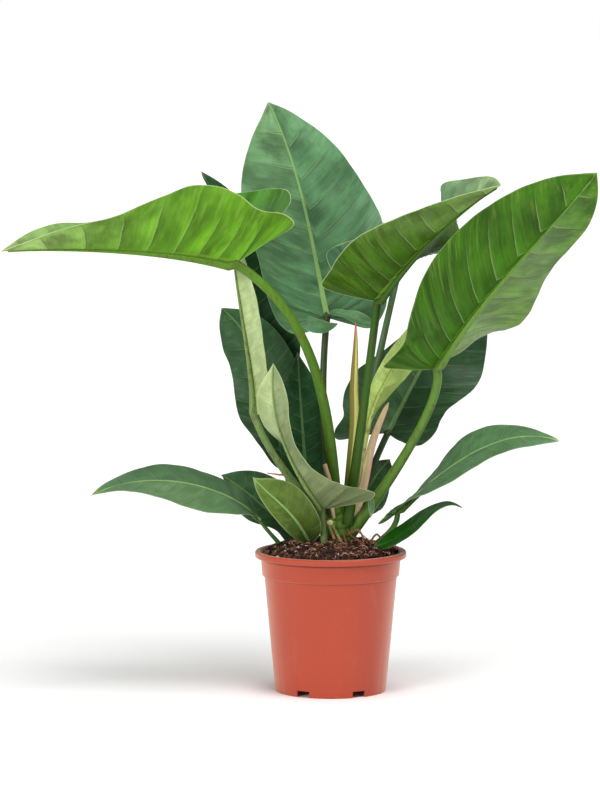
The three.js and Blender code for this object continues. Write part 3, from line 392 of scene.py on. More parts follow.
def through(rows, shares):
    """A smooth curve through evenly spaced rows of numbers, read at shares of its whole run."""
    rows = np.asarray(rows, float)
    if rows.ndim == 1:
        return through(rows[:, None], shares)[:, 0]
    last = len(rows) - 1
    place = np.clip(np.asarray(shares, float), 0, 1) * last
    i = np.minimum(place.astype(int), last - 1)
    w = (place - i)[:, None]
    before, start = rows[np.maximum(i - 1, 0)], rows[i]
    end, after = rows[i + 1], rows[np.minimum(i + 2, last)]
    leave, arrive = (end - before) / 2, (after - start) / 2
    return ((2 * start - 2 * end + leave + arrive) * w ** 3
            + (-3 * start + 3 * end - 2 * leave - arrive) * w ** 2 + leave * w + start)


def unit(vectors):
    """The same directions, with length 1."""
    return vectors / np.maximum(np.linalg.norm(vectors, axis=-1, keepdims=True), 1e-12)


def smooth(values, low, high):
    """A soft step from 0 at the low limit to 1 at the high one."""
    share = np.clip((values - low) / (high - low), 0, 1)
    return share * share * (3 - 2 * share)


def from_ends(row):
    """0 at the joint and at the tip, 1 half way."""
    return np.sqrt(np.maximum(np.sin(np.pi * row), 0))


class Handled:
    """A curve with four handles, read by shares of its length."""

    def __init__(self, handles):
        self.handles = np.asarray(handles, float)
        self.steps = np.linspace(0, 1, 201)
        points = self.at(self.steps)
        runs = np.linalg.norm(np.diff(points, axis=0), axis=1)
        self.run = np.concatenate([[0], np.cumsum(runs)])
        self.length = self.run[-1]

    def at(self, t):
        """Points where the curve's own number is t."""
        t = np.asarray(t, float)[:, None]
        a, b, c, d = self.handles
        return a * (1 - t) ** 3 + 3 * b * t * (1 - t) ** 2 + 3 * c * t * t * (1 - t) + d * t ** 3

    def slope(self, t):
        """Directions where the curve's own number is t."""
        t = np.asarray(t, float)[:, None]
        a, b, c, d = self.handles
        return unit(3 * (b - a) * (1 - t) ** 2 + 6 * (c - b) * t * (1 - t) + 3 * (d - c) * t * t)

    def share(self, shares):
        """Points and directions at shares of the length."""
        t = np.interp(np.asarray(shares, float) * self.length, self.run, self.steps)
        return self.at(t), self.slope(t)


def stations(leaf, along):
    """Where the midrib stands at shares of its length: point, forward, upper side, left, and held share."""
    held = np.clip(along, 0, 1)
    points, forward = leaf["curve"].share(held)
    points = points + forward * ((along - held) * leaf["curve"].length)[:, None]
    first, last = (unit(np.asarray(look, float)) for look in leaf["face"])
    up = first + (last - first) * held[:, None]
    up = unit(up - forward * np.sum(up * forward, axis=1, keepdims=True))
    return points, forward, up, np.cross(up, forward), held


def blade_surface(leaf, row, column):
    """A blade's middle surface, for rows 0 to 1 from joint to tip and columns -1 to 1 from edge to edge.

    Returns its points, how far each is from the midrib and from the edge, and its share of the length.
    """
    side = (column >= 0).astype(int)
    share = np.abs(column)
    outlines = [through(OUTLINES[name], row) for name in leaf["outline"]]
    outline = np.where(side[:, None] == 1, outlines[1], outlines[0])
    edge = np.where(outline[:, 0] < 0, outline[:, 0] * leaf["lobe"], outline[:, 0])
    # The rows stand closer together by the joint, where the outline turns most.
    middle = row ** 1.25
    along = middle + (edge - middle) * share ** 1.2
    points, _, up, left, held = stations(leaf, along)

    def turned(key, place):
        first, second = (through(angles, place) for angles in leaf[key])
        return np.radians(np.where(side == 1, second, first))

    fold, curl, rim = turned("fold", held), turned("curl", held), turned("rim", row)

    def bend(share):
        return fold + curl * share + rim * np.maximum((share - 0.7) / 0.3, 0) ** 0.7

    half = np.asarray(leaf["half"], float)[side]
    width = np.maximum(outline[:, 1], 0)
    reach = width * share * half
    # A half turns up more and more on its way out, so its run and rise are means over twelve steps.
    angles = np.array([bend(share * (i + 0.5) / 12) for i in range(12)])
    out, rise = np.cos(angles).mean(axis=0), np.sin(angles).mean(axis=0)
    outward = left * np.where(side == 1, -1, 1)[:, None]
    bent = bend(share)[:, None]
    normal = up * np.cos(bent) - outward * np.sin(bent)
    height, count, start = np.asarray(leaf["wave"], float)[side].T
    ripple = height * share ** 2 * np.sin(2 * np.pi * (count * row + start))
    ripple = ripple * from_ends(row)
    place = points + outward * (reach * out)[:, None] + up * (reach * rise)[:, None]
    return place + normal * ripple[:, None], reach, width * half - reach, along


def is_small(leaf):
    """Whether a blade is one of the short ones."""
    return leaf["curve"].length < SMALL_BLADE


def vein_number(settings, leaf, along, reach):
    """Counts the side veins: they leave the midrib slanting to the tip, and fan out into the lobes."""
    length = leaf["curve"].length
    gap = settings.vein_gap / MM * (0.55 if is_small(leaf) else 1)
    slant = through(SLANTS.get(leaf["name"], (settings.vein_slant, settings.vein_slant)), along)
    start = along * length - slant * reach - 0.0016 * reach ** 2
    turned = np.arctan2(-start, np.maximum(reach, 0.5)) * 2.4 * gap
    # Ahead of the joint the veins stand farther and farther apart, and behind it they fan out.
    spread = length / 1.4
    spaced = 1.6 * spread * np.log1p(np.maximum(start, 0) / spread)
    return np.where(start > 0, spaced, -turned) / gap


def rib_radius(leaf, along):
    """Radius of the midrib at shares of the blade's length: half the stalk at the joint, fine at the tip."""
    joint, tip = leaf["thick"][1] / 2, 0.9
    return joint + (tip - joint) * np.minimum(along * 1.15, 1) ** 0.6


def with_painted_light(leaf, tints, row, column):
    """Pales each half of a blade where it has painted light, or darkens it as painted shade where the share
    is below 0.
    """
    table = PAINTED_HALF_LIGHT.get(leaf["name"], ((0, 0), (0, 0)))
    share = np.where(column >= 0, through(table[1], row), through(table[0], row))[:, None]
    pale = tints + (np.asarray(PAINTED_LIGHT_AND_VEIN_GREEN) - tints) * np.maximum(share, 0)
    pale[:, :3] *= 1 + np.minimum(share, 0)
    return pale


def tinted(leaf, part, shares, spread):
    """Colours along a blade or stalk, a little lighter toward the tip."""
    base = np.asarray(paint(*TINTS[leaf["colour"]][part])[:3])
    lift = (1 + spread * (shares - 0.5))[:, None]
    return np.hstack([base * lift, np.ones((len(shares), 1))])


def pleated(depth, vein, row, share, along):
    """How far the folds between the side veins lift a blade: most by the joint, not at all at the midrib."""
    rise = (np.abs(np.sin(np.pi * vein)) ** 0.8 - 0.6) * depth
    rise = rise * smooth(share, 0.0, 0.30) * (1 - 0.7 * smooth(share, 0.6, 1.0))
    return rise * (1 + 0.8 * np.exp(-(along / 0.25) ** 2)) * from_ends(row)


def square_to(place, rows, width):
    """Directions square to a grid of points. Its end rows are a point each, and use the next row's runs."""
    grid = place.reshape(rows + 1, width, 3)
    down, right = np.gradient(grid, axis=0), np.gradient(grid, axis=1)
    for run in (down, right):
        run[0], run[-1] = run[1], run[-2]
    return unit(np.cross(right, down)).reshape(-1, 3)


def blade_faces(rows, columns, index, count):
    """Faces of both sides of a blade and of its rim, and which of its materials each has."""
    width = 2 * columns + 1
    faces, sides = [], []

    def face(ring, side):
        ring = [v for i, v in enumerate(ring) if v != ring[i - 1]]
        if len(ring) > 2:
            faces.append(ring)
            sides.append(side)

    for i in range(rows):
        for k in range(2 * columns):
            a, b = index[i * width + k], index[i * width + k + 1]
            d, e = index[(i + 1) * width + k + 1], index[(i + 1) * width + k]
            face((a, b, d, e), 0)
            face((a + count, e + count, d + count, b + count), 1)
    for i in range(rows):
        for k, turn in ((0, 1), (2 * columns, -1)):
            a, b = index[i * width + k], index[(i + 1) * width + k]
            face((a, b, b + count, a + count)[::turn], 0)
    return faces, sides


def blade_mesh(leaf, settings):
    """Vertices, faces, the faces' sides and the vertices' attributes of one blade, closed all round."""
    fewer_rows, fewer_columns, shallower = (0.6, 0.7, 0.35) if is_small(leaf) else (1, 1, 1)
    rows, columns = int(settings.rows * fewer_rows), int(settings.columns * fewer_columns)
    width = 2 * columns + 1
    grid = np.meshgrid(np.linspace(0, 1, rows + 1), np.linspace(-1, 1, width), indexing="ij")
    row, column = (values.ravel() for values in grid)
    place, across, margin, along = blade_surface(leaf, row, column)
    vein = vein_number(settings, leaf, along, across) + np.where(column > 0, 0.4, 0.0)
    normals = square_to(place, rows, width)
    rise = pleated(settings.pleat / MM * shallower, vein, row, np.abs(column), along)
    place = place + normals * rise[:, None]
    rib = across / (rib_radius(leaf, np.clip(row ** 1.25, 0, 1)) + 0.35)
    relief = leaf.get("relief", RELIEF.get(leaf["colour"], 1.0))
    marks = np.stack([vein, column, np.full(len(row), relief)], axis=1)
    reach = np.stack([rib, margin / 10, np.full(len(row), EDGING[leaf["colour"]])], axis=1)
    # Each end row is one corner, the midrib's.
    keep = np.ones(len(place), bool)
    for end in (0, rows):
        keep[end * width:(end + 1) * width] = False
        keep[end * width + columns] = True
    index = np.cumsum(keep) - 1
    index[:width] = index[columns]
    index[rows * width:] = index[rows * width + columns]
    half = settings.thickness / MM / 2
    corners = np.vstack([(place + normals * half)[keep], (place - normals * half)[keep]])
    faces, sides = blade_faces(rows, columns, index, int(keep.sum()))
    row, column = row[keep], column[keep]
    upper = with_painted_light(leaf, tinted(leaf, 0, row, 0.25), row, column)
    under = with_painted_light(leaf, tinted(leaf, 1, row, 0.10), row, column)
    return {"corners": corners * MM, "faces": faces, "sides": sides, "tint": np.vstack([upper, under]),
            "marks": np.vstack([marks[keep]] * 2), "reach": np.vstack([reach[keep]] * 2)}


def only(*objects):
    """Selects these objects alone, the last one active."""
    if bpy.context.object and bpy.context.object.mode != "OBJECT":
        bpy.ops.object.mode_set(mode="OBJECT")
    bpy.ops.object.select_all(action="DESELECT")
    for thing in objects:
        thing.select_set(True)
        bpy.context.view_layer.objects.active = thing


def placed(piece):
    """Puts the piece's place, turn and size into its mesh."""
    only(piece)
    bpy.ops.object.transform_apply(location=True, rotation=True, scale=True)
    return piece


def apply_all(piece):
    """Applies every modifier of the piece, in order."""
    only(piece)
    for modifier in list(piece.modifiers):
        bpy.ops.object.modifier_apply(modifier=modifier.name)
    return piece


def joined(name, *pieces):
    """Makes one piece of several, in the first one's name."""
    only(*reversed(pieces))
    if len(pieces) > 1:
        bpy.ops.object.join()
    whole = bpy.context.object
    whole.name = name
    whole.data.name = name
    return whole


def rounded(piece, angle=35):
    """Shades the piece smooth, except at edges sharper than the angle, in degrees."""
    only(piece)
    bpy.ops.object.shade_smooth_by_angle(angle=math.radians(angle))
    return piece


def coloured(piece, name, values):
    """Writes a colour or a vector for every vertex."""
    values = np.asarray(values, float)
    kind = "FLOAT_COLOR" if values.shape[1] == 4 else "FLOAT_VECTOR"
    attribute = piece.data.attributes.new(name, kind, "POINT")
    attribute.data.foreach_set("color" if kind == "FLOAT_COLOR" else "vector", values.ravel())
    return piece


def one_tint(piece, colour):
    """Gives the whole piece one colour of its own."""
    return coloured(piece, "tint", [colour] * len(piece.data.vertices))


def finished(piece, slot, node, *materials):
    """Gives the piece its materials and its body, and hides the node that it stands for. The slot is not
    used.
    """
    if materials:
        piece.data.materials.clear()
        for material in materials:
            piece.data.materials.append(material)
    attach(piece, BODY)
    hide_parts(node)
    return piece


def facing_out(piece, merge=0):
    """Merges corners closer than a distance, in metres, and turns every face outward."""
    only(piece)
    bpy.ops.object.mode_set(mode="EDIT")
    bpy.ops.mesh.select_all(action="SELECT")
    if merge:
        bpy.ops.mesh.remove_doubles(threshold=merge)
    bpy.ops.mesh.normals_make_consistent(inside=False)
    bpy.ops.object.mode_set(mode="OBJECT")
    return piece


def from_faces(name, corners, faces):
    """A piece from its corners, in metres, and its faces."""
    mesh = bpy.data.meshes.new(name)
    mesh.from_pydata([tuple(corner) for corner in corners], [], [tuple(map(int, f)) for f in faces])
    piece = bpy.data.objects.new(name, mesh)
    bpy.context.scene.collection.objects.link(piece)
    return piece


def lump(radius, rings, place, stretch):
    """A stretched ball."""
    only()
    bpy.ops.mesh.primitive_uv_sphere_add(segments=24, ring_count=rings, radius=radius, location=place)
    ball = bpy.context.object
    ball.scale = stretch
    return placed(ball)


def framed(path, look, count):
    """Points along a path, and from each the directions to its front, which looks one way, and its side."""
    points = through(path, np.linspace(0, 1, count))
    slopes = unit(np.gradient(points, axis=0))
    front = unit(np.asarray(look, float) - slopes * (slopes @ np.asarray(look, float))[:, None])
    return points, front, np.cross(slopes, front)


def rod(name, points, radii, ring=3):
    """A round rod through points in millimetres, made as a curve and turned into a closed mesh."""
    curve = bpy.data.curves.new(name, "CURVE")
    curve.dimensions = "3D"
    curve.bevel_depth = MM
    curve.bevel_resolution = ring
    curve.use_fill_caps = True
    spline = curve.splines.new("POLY")
    spline.points.add(len(points) - 1)
    for point, place, radius in zip(spline.points, points, radii):
        point.co = (*(float(value) * MM for value in place), 1)
        point.radius = float(radius)
    piece = bpy.data.objects.new(name, curve)
    bpy.context.scene.collection.objects.link(piece)
    only(piece)
    bpy.ops.object.convert(target="MESH")
    return facing_out(bpy.context.object, merge=0.00001)


def lathe(name, profile, sides):
    """A closed turned piece: a disc drawn up through the radii and heights of a profile, in metres."""
    radius, height = profile[0]
    only()
    bpy.ops.mesh.primitive_circle_add(vertices=sides, radius=radius, fill_type="NGON",
                                      location=(0, 0, height))
    piece = placed(bpy.context.object)
    piece.name = name
    bpy.ops.object.mode_set(mode="EDIT")
    bpy.ops.mesh.select_all(action="SELECT")
    for wider, higher in profile[1:]:
        bpy.ops.mesh.extrude_region_move(TRANSFORM_OT_translate={"value": (0, 0, higher - height)})
        scale = wider / radius
        bpy.ops.transform.resize(value=(scale, scale, 1), center_override=(0, 0, higher))
        radius, height = wider, higher
    return facing_out(piece)


def cut(piece, tool):
    """Takes the tool's shape out of the piece."""
    modifier = piece.modifiers.new("Cut", "BOOLEAN")
    modifier.operation = "DIFFERENCE"
    modifier.solver = "EXACT"
    modifier.object = tool
    apply_all(piece)
    bpy.data.objects.remove(tool, do_unlink=True)
    return piece


def wire(tree, value, socket):
    """Links another node's output to the socket, or gives the socket a value of its own."""
    if isinstance(value, bpy.types.NodeSocket):
        tree.links.new(value, socket)
    else:
        socket.default_value = value


def calc(tree, operation, *values):
    """One step of arithmetic."""
    node = tree.nodes.new("ShaderNodeMath")
    node.operation = operation
    for i, value in enumerate(values):
        wire(tree, value, node.inputs[i])
    return node.outputs[0]


def fade(tree, value, low, high, start=0.0, end=1.0):
    """A soft step of a value between two limits."""
    node = tree.nodes.new("ShaderNodeMapRange")
    node.interpolation_type = "SMOOTHSTEP"
    for name, number in (("Value", value), ("From Min", low), ("From Max", high), ("To Min", start),
                         ("To Max", end)):
        wire(tree, number, node.inputs[name])
    return node.outputs["Result"]


def mixed(tree, share, first, second):
    """The first colour, with a share of the second in it."""
    node = tree.nodes.new("ShaderNodeMix")
    node.data_type = "RGBA"
    node.clamp_result = False
    # The node's colour sockets are 6 and 7, and its colour output is 2.
    wire(tree, share, node.inputs[0])
    wire(tree, first, node.inputs[6])
    wire(tree, second, node.inputs[7])
    return node.outputs[2]


def shaded(tree, colour, value):
    """A colour made lighter or darker."""
    node = tree.nodes.new("ShaderNodeHueSaturation")
    wire(tree, value, node.inputs["Value"])
    wire(tree, colour, node.inputs["Color"])
    return node.outputs["Color"]


def swing(tree, share, depth):
    """A factor that goes up and down round 1 by half the depth, as the share goes from 0 to 1."""
    return calc(tree, "MULTIPLY_ADD", share, depth, 1 - depth / 2)


def noise_at(tree, where, scale, detail, roughness):
    """Noise read at a place."""
    node = tree.nodes.new("ShaderNodeTexNoise")
    for name, value in (("Vector", where), ("Scale", scale), ("Detail", detail), ("Roughness", roughness)):
        wire(tree, value, node.inputs[name])
    return node.outputs["Fac"]


def speckle(tree, scale, detail=3.0, stretch=(1, 1, 1), roughness=0.55):
    """Noise fixed to the object."""
    where = tree.nodes.new("ShaderNodeTexCoord")
    mapping = tree.nodes.new("ShaderNodeMapping")
    wire(tree, where.outputs["Object"], mapping.inputs["Vector"])
    wire(tree, stretch, mapping.inputs["Scale"])
    return noise_at(tree, mapping.outputs["Vector"], scale, detail, roughness)


def streaks(tree, first, second, scale, detail=3.0, roughness=0.55):
    """Noise drawn out along the side veins, from the blade's own numbers."""
    where = tree.nodes.new("ShaderNodeCombineXYZ")
    wire(tree, first, where.inputs["X"])
    wire(tree, second, where.inputs["Y"])
    return noise_at(tree, where.outputs["Vector"], scale, detail, roughness)


def told(tree, name):
    """An attribute of the piece, as three numbers."""
    node = tree.nodes.new("ShaderNodeAttribute")
    node.attribute_name = name
    parts = tree.nodes.new("ShaderNodeSeparateXYZ")
    tree.links.new(node.outputs["Vector"], parts.inputs[0])
    return parts.outputs["X"], parts.outputs["Y"], parts.outputs["Z"]


def tint_of(tree):
    """The piece's own colour."""
    node = tree.nodes.new("ShaderNodeAttribute")
    node.attribute_name = "tint"
    return node.outputs["Color"]


def new_material(name, roughness, specular=0.5):
    """A material with its shader, which has this plain roughness where nothing is wired to it.

    Returns the material, its tree and the shader.
    """
    material = bpy.data.materials.new(name)
    material.use_nodes = True
    tree = material.node_tree
    shader = tree.nodes["Principled BSDF"]
    shader.inputs["Roughness"].default_value = roughness
    shader.inputs["Specular IOR Level"].default_value = specular
    return material, tree, shader


def bumped(tree, shader, height, strength, distance):
    """Raises and sinks the surface by a height, to a distance in metres."""
    node = tree.nodes.new("ShaderNodeBump")
    node.inputs["Strength"].default_value = strength
    node.inputs["Distance"].default_value = distance
    tree.links.new(height, node.inputs["Height"])
    tree.links.new(node.outputs["Normal"], shader.inputs["Normal"])


def new_group(name, given, found):
    """A node group with its sockets; returns its tree, what it is given and what it puts out."""
    tree = bpy.data.node_groups.new(name, "ShaderNodeTree")
    for way, sockets in (("INPUT", given), ("OUTPUT", found)):
        for label, kind in sockets:
            tree.interface.new_socket(label, in_out=way, socket_type="NodeSocket" + kind)
    return tree, tree.nodes.new("NodeGroupInput").outputs, tree.nodes.new("NodeGroupOutput").inputs


def effect(tree, group, values):
    """Places a node group in a material with the values that suit it."""
    node = tree.nodes.new("ShaderNodeGroup")
    node.node_tree = group
    for name, value in values.items():
        node.inputs[name].default_value = value
    return node.outputs


def leaf_marks():
    """The group that finds a blade's midrib, side veins, fine lines, folds, margin and mottle, with the
    painted shade along its veins and folds and the painted highlights toward its edge.
    """
    if "leaf_marks" in bpy.data.node_groups:
        return bpy.data.node_groups["leaf_marks"]
    finds = ("Rib", "Vein", "Vein Shadow", "Pleat Shade", "Fine", "Fold", "Painted Highlight", "Margin", "Mottle")
    found = [(name, "Float") for name in finds]
    tree, given, result = new_group("leaf_marks", [("Vein Width", "Float")], found)
    vein, across, relief = told(tree, "marks")
    rib, margin, edging = told(tree, "reach")
    wobble = calc(tree, "MULTIPLY_ADD", speckle(tree, 22, 2), 0.16, -0.08)
    vein = calc(tree, "ADD", vein, wobble)
    share = calc(tree, "ABSOLUTE", across)

    # Side veins, and the three finer lines between each two.
    phase = calc(tree, "FRACT", vein)
    near = calc(tree, "SUBTRACT", 0.5, calc(tree, "ABSOLUTE", calc(tree, "SUBTRACT", phase, 0.5)))
    width = calc(tree, "MULTIPLY", given["Vein Width"], fade(tree, share, 0.0, 0.9, 1.3, 0.6))
    line = fade(tree, near, calc(tree, "MULTIPLY", width, 0.3), width, 1.0, 0.0)
    line = calc(tree, "MULTIPLY", line, fade(tree, share, 0.45, 0.92, 1.0, 0.0))
    minor = calc(tree, "FRACT", calc(tree, "MULTIPLY_ADD", vein, 3.0, 0.35))
    minor = fade(tree, calc(tree, "ABSOLUTE", calc(tree, "SUBTRACT", minor, 0.5)), 0.0, 0.09, 0.14, 0.0)
    minor = calc(tree, "MULTIPLY", minor, fade(tree, share, 0.4, 0.9, 1.0, 0.0))
    line = calc(tree, "MAXIMUM", line, minor)
    line = calc(tree, "MULTIPLY", line, calc(tree, "MULTIPLY_ADD", relief, 0.6, 0.4))
    wire(tree, line, result["Vein"])

    # The fold of the blade at each side vein, painted as shade: a dark line just before each vein, and a band
    # that is lighter after the vein and darker toward the next.
    held = calc(tree, "MULTIPLY", fade(tree, share, 0.50, 0.95, 1.0, 0.1), relief)
    wire(tree, calc(tree, "MULTIPLY", fade(tree, phase, 0.93, 0.985), held), result["Vein Shadow"])
    pleat = calc(tree, "SUBTRACT", fade(tree, phase, 0.0, 1.0, 1.0, 0.0), 0.5)
    wire(tree, calc(tree, "MULTIPLY_ADD", pleat, held, 0.5), result["Pleat Shade"])

    # The midrib, dim on a blade with little relief or with hardly a pale margin, and the margin.
    midrib = calc(tree, "MULTIPLY", fade(tree, rib, 0.8, 1.12, 1.0, 0.0),
                  fade(tree, relief, 0.05, 0.25, 0.1, 1.0))
    midrib = calc(tree, "MULTIPLY", midrib, fade(tree, edging, 0.0, 0.15, 0.15, 1.0))
    wire(tree, midrib, result["Rib"])
    wire(tree, calc(tree, "MULTIPLY", fade(tree, margin, 0.04, 0.11, 1.0, 0.0), edging), result["Margin"])

    # Fine threads along the veins, soft painted highlights toward the edge, broad folds, which the blade's
    # colour also shows as painted shade, and an even mottle.
    threads = streaks(tree, calc(tree, "MULTIPLY", vein, 9.0), across, 1.6, 3, 0.7)
    wire(tree, fade(tree, threads, 0.28, 0.72), result["Fine"])
    painted_highlight = streaks(tree, calc(tree, "MULTIPLY", vein, 2.6), calc(tree, "MULTIPLY", across, 0.9), 1.5, 4,
                    0.6)
    painted_highlight = calc(tree, "MULTIPLY", fade(tree, painted_highlight, 0.48, 0.72), fade(tree, share, 0.15, 0.85))
    wire(tree, calc(tree, "MULTIPLY", painted_highlight, relief), result["Painted Highlight"])
    folds = streaks(tree, calc(tree, "MULTIPLY", vein, 1.1), calc(tree, "MULTIPLY", across, 1.4), 1.3, 3)
    mottle = speckle(tree, 13, 5, roughness=0.65)
    strong = calc(tree, "MULTIPLY_ADD", relief, 0.75, 0.25)
    for name, value in (("Fold", fade(tree, folds, 0.32, 0.68)), ("Mottle", fade(tree, mottle, 0.3, 0.7))):
        centred = calc(tree, "SUBTRACT", value, 0.5)
        wire(tree, calc(tree, "MULTIPLY_ADD", centred, strong, 0.5), result[name])
    return tree


def blade_material(name, rib, rib_share, vein_share, vein_pale, painted_highlight, raised):
    """The finish of one side of the blades. Its veins are raised, or sunk where that number is below 0."""
    material, tree, shader = new_material(name, 0.35, 0.12)
    marks = effect(tree, leaf_marks(), {"Vein Width": 0.034})
    tint = tint_of(tree)
    # Painted shade: a dark line beside each side vein, and darker and lighter bands across each pleat and
    # broad fold. The mottle and the fine lines are the blade's own tone.
    light = calc(tree, "MULTIPLY_ADD", marks["Vein Shadow"], -0.22, 1.0)
    for mark, depth in (("Mottle", 0.16), ("Fold", 0.60), ("Fine", 0.22), ("Pleat Shade", 0.50)):
        light = calc(tree, "MULTIPLY", light, swing(tree, marks[mark], depth))
    colour = shaded(tree, tint, light)
    # Painted highlight: soft pale streaks toward the edge of the blade.
    colour = mixed(tree, calc(tree, "MULTIPLY", marks["Painted Highlight"], 0.30), colour, painted_highlight)
    pale_tint = mixed(tree, vein_pale, tint, PAINTED_LIGHT_AND_VEIN_GREEN)
    colour = mixed(tree, calc(tree, "MULTIPLY", marks["Vein"], vein_share), colour, pale_tint)
    colour = mixed(tree, calc(tree, "MULTIPLY", marks["Rib"], rib_share), colour, rib)
    colour = mixed(tree, marks["Margin"], colour, paint(196, 208, 152))
    wire(tree, colour, shader.inputs["Base Color"])
    wire(tree, calc(tree, "MULTIPLY_ADD", marks["Fine"], 0.12, 0.29), shader.inputs["Roughness"])
    height = calc(tree, "MULTIPLY_ADD", marks["Fold"], 0.8, calc(tree, "MULTIPLY", marks["Fine"], 0.12))
    lines = calc(tree, "MULTIPLY", calc(tree, "ADD", marks["Vein"], marks["Rib"]), 2.5 * raised)
    bumped(tree, shader, calc(tree, "ADD", height, lines), 0.7, 0.0007)
    return material


def natural_grain():
    """The group that finds the grain of a natural surface, and the piece's own colour swung by it."""
    if "natural_grain" in bpy.data.node_groups:
        return bpy.data.node_groups["natural_grain"]
    given = [("Scale", "Float"), ("Detail", "Float"), ("Stretch", "Vector"), ("Spread", "Float")]
    tree, given, result = new_group("natural_grain", given, [("Color", "Color"), ("Grain", "Float")])
    grain = speckle(tree, given["Scale"], given["Detail"], given["Stretch"])
    depth = calc(tree, "MULTIPLY", given["Spread"], 2.0)
    light = calc(tree, "MULTIPLY_ADD", grain, depth, calc(tree, "SUBTRACT", 1.0, given["Spread"]))
    wire(tree, shaded(tree, tint_of(tree), light), result["Color"])
    wire(tree, grain, result["Grain"])
    return tree


def stalk_material():
    """Waxy green stalks with fine lengthwise lines and small rusty flecks."""
    material, tree, shader = new_material("waxy_stalk", 0.42, 0.25)
    grain = {"Scale": 120, "Detail": 2, "Stretch": (1, 1, 0.06), "Spread": 0.3}
    lines = effect(tree, natural_grain(), grain)
    flecks = fade(tree, speckle(tree, 240, 3, (1, 1, 0.45)), 0.56, 0.66)
    colour = mixed(tree, calc(tree, "MULTIPLY", flecks, 0.60), lines["Color"], paint(104, 74, 30))
    wire(tree, colour, shader.inputs["Base Color"])
    wire(tree, calc(tree, "MULTIPLY_ADD", lines["Grain"], 0.3, 0.28), shader.inputs["Roughness"])
    bumped(tree, shader, lines["Grain"], 0.35, 0.0006)
    return material


def tinted_material(name, roughness, scale, depth, spread, stretch=(1, 1, 1)):
    """A rough natural surface whose colour comes from the piece, with grain to a depth in metres."""
    material, tree, shader = new_material(name, roughness, 0.3)
    grain = {"Scale": scale, "Detail": 4, "Stretch": stretch, "Spread": spread}
    rough = effect(tree, natural_grain(), grain)
    wire(tree, rough["Color"], shader.inputs["Base Color"])
    wire(tree, calc(tree, "MULTIPLY_ADD", rough["Grain"], 0.2, roughness - 0.1), shader.inputs["Roughness"])
    bumped(tree, shader, rough["Grain"], 0.7, depth)
    return material


def height_of(tree):
    """Height above the floor, in metres."""
    where = tree.nodes.new("ShaderNodeTexCoord")
    parts = tree.nodes.new("ShaderNodeSeparateXYZ")
    tree.links.new(where.outputs["Object"], parts.inputs[0])
    return parts.outputs["Z"]


def plastic_material(colour, lip, step):
    """Moulded plastic with faint flow lines, a fine grain, a little dust, a painted sheen that pales its
    edges, painted shade under the lip, and a thin darker line at the step, whose heights are given in metres.
    """
    material, tree, shader = new_material("moulded_plastic", 0.45, 0.25)
    shader.inputs["Sheen Weight"].default_value = 0.40
    shader.inputs["Sheen Roughness"].default_value = 0.35
    flow = speckle(tree, 9, 3, (1, 1, 0.25))
    grain = speckle(tree, 900, 2)
    dust = fade(tree, speckle(tree, 26, 5, (1, 1, 0.6), 0.7), 0.55, 0.80)
    base = shaded(tree, (*colour, 1.0), swing(tree, flow, 0.22))
    base = shaded(tree, base, swing(tree, grain, 0.10))
    base = mixed(tree, calc(tree, "MULTIPLY", dust, 0.10), base, paint(225, 150, 125))
    # Painted sheen: the colour pales toward the edges, where the pot's side turns away.
    edge = tree.nodes.new("ShaderNodeLayerWeight")
    edge.inputs["Blend"].default_value = 0.40
    pale = fade(tree, edge.outputs["Facing"], 0.25, 0.95, 0.0, 0.55)
    base = mixed(tree, pale, base, paint(240, 156, 122))
    height = height_of(tree)
    # Painted shade under the lip, and a thin darker line at the step.
    under_lip = fade(tree, height, lip - 0.0045, lip - 0.0004)
    under_lip = calc(tree, "MULTIPLY", under_lip, calc(tree, "LESS_THAN", height, lip + 0.0002))
    from_step = calc(tree, "ABSOLUTE", calc(tree, "SUBTRACT", height, step))
    at_step = fade(tree, from_step, 0.0002, 0.0014, 0.45, 0.0)
    lip_shade_and_step_line = calc(tree, "MAXIMUM", calc(tree, "MULTIPLY", under_lip, 0.75), at_step)
    base = mixed(tree, lip_shade_and_step_line, base, paint(66, 24, 16))
    wire(tree, base, shader.inputs["Base Color"])
    wire(tree, calc(tree, "MULTIPLY_ADD", dust, 0.15, 0.42), shader.inputs["Roughness"])
    relief = calc(tree, "ADD", grain, calc(tree, "MULTIPLY", flow, 2.0))
    bumped(tree, shader, relief, 0.25, 0.0002)
    return material


def soil_level(settings, radius):
    """Height of the heap at a distance from the middle, in metres."""
    return settings.middle - settings.fall * min(radius / 0.097, 1) ** 3


def clod(place):
    """How far the heap's clods lift it at a place, in metres."""
    return 0.0030 * noise.noise(place * 70)


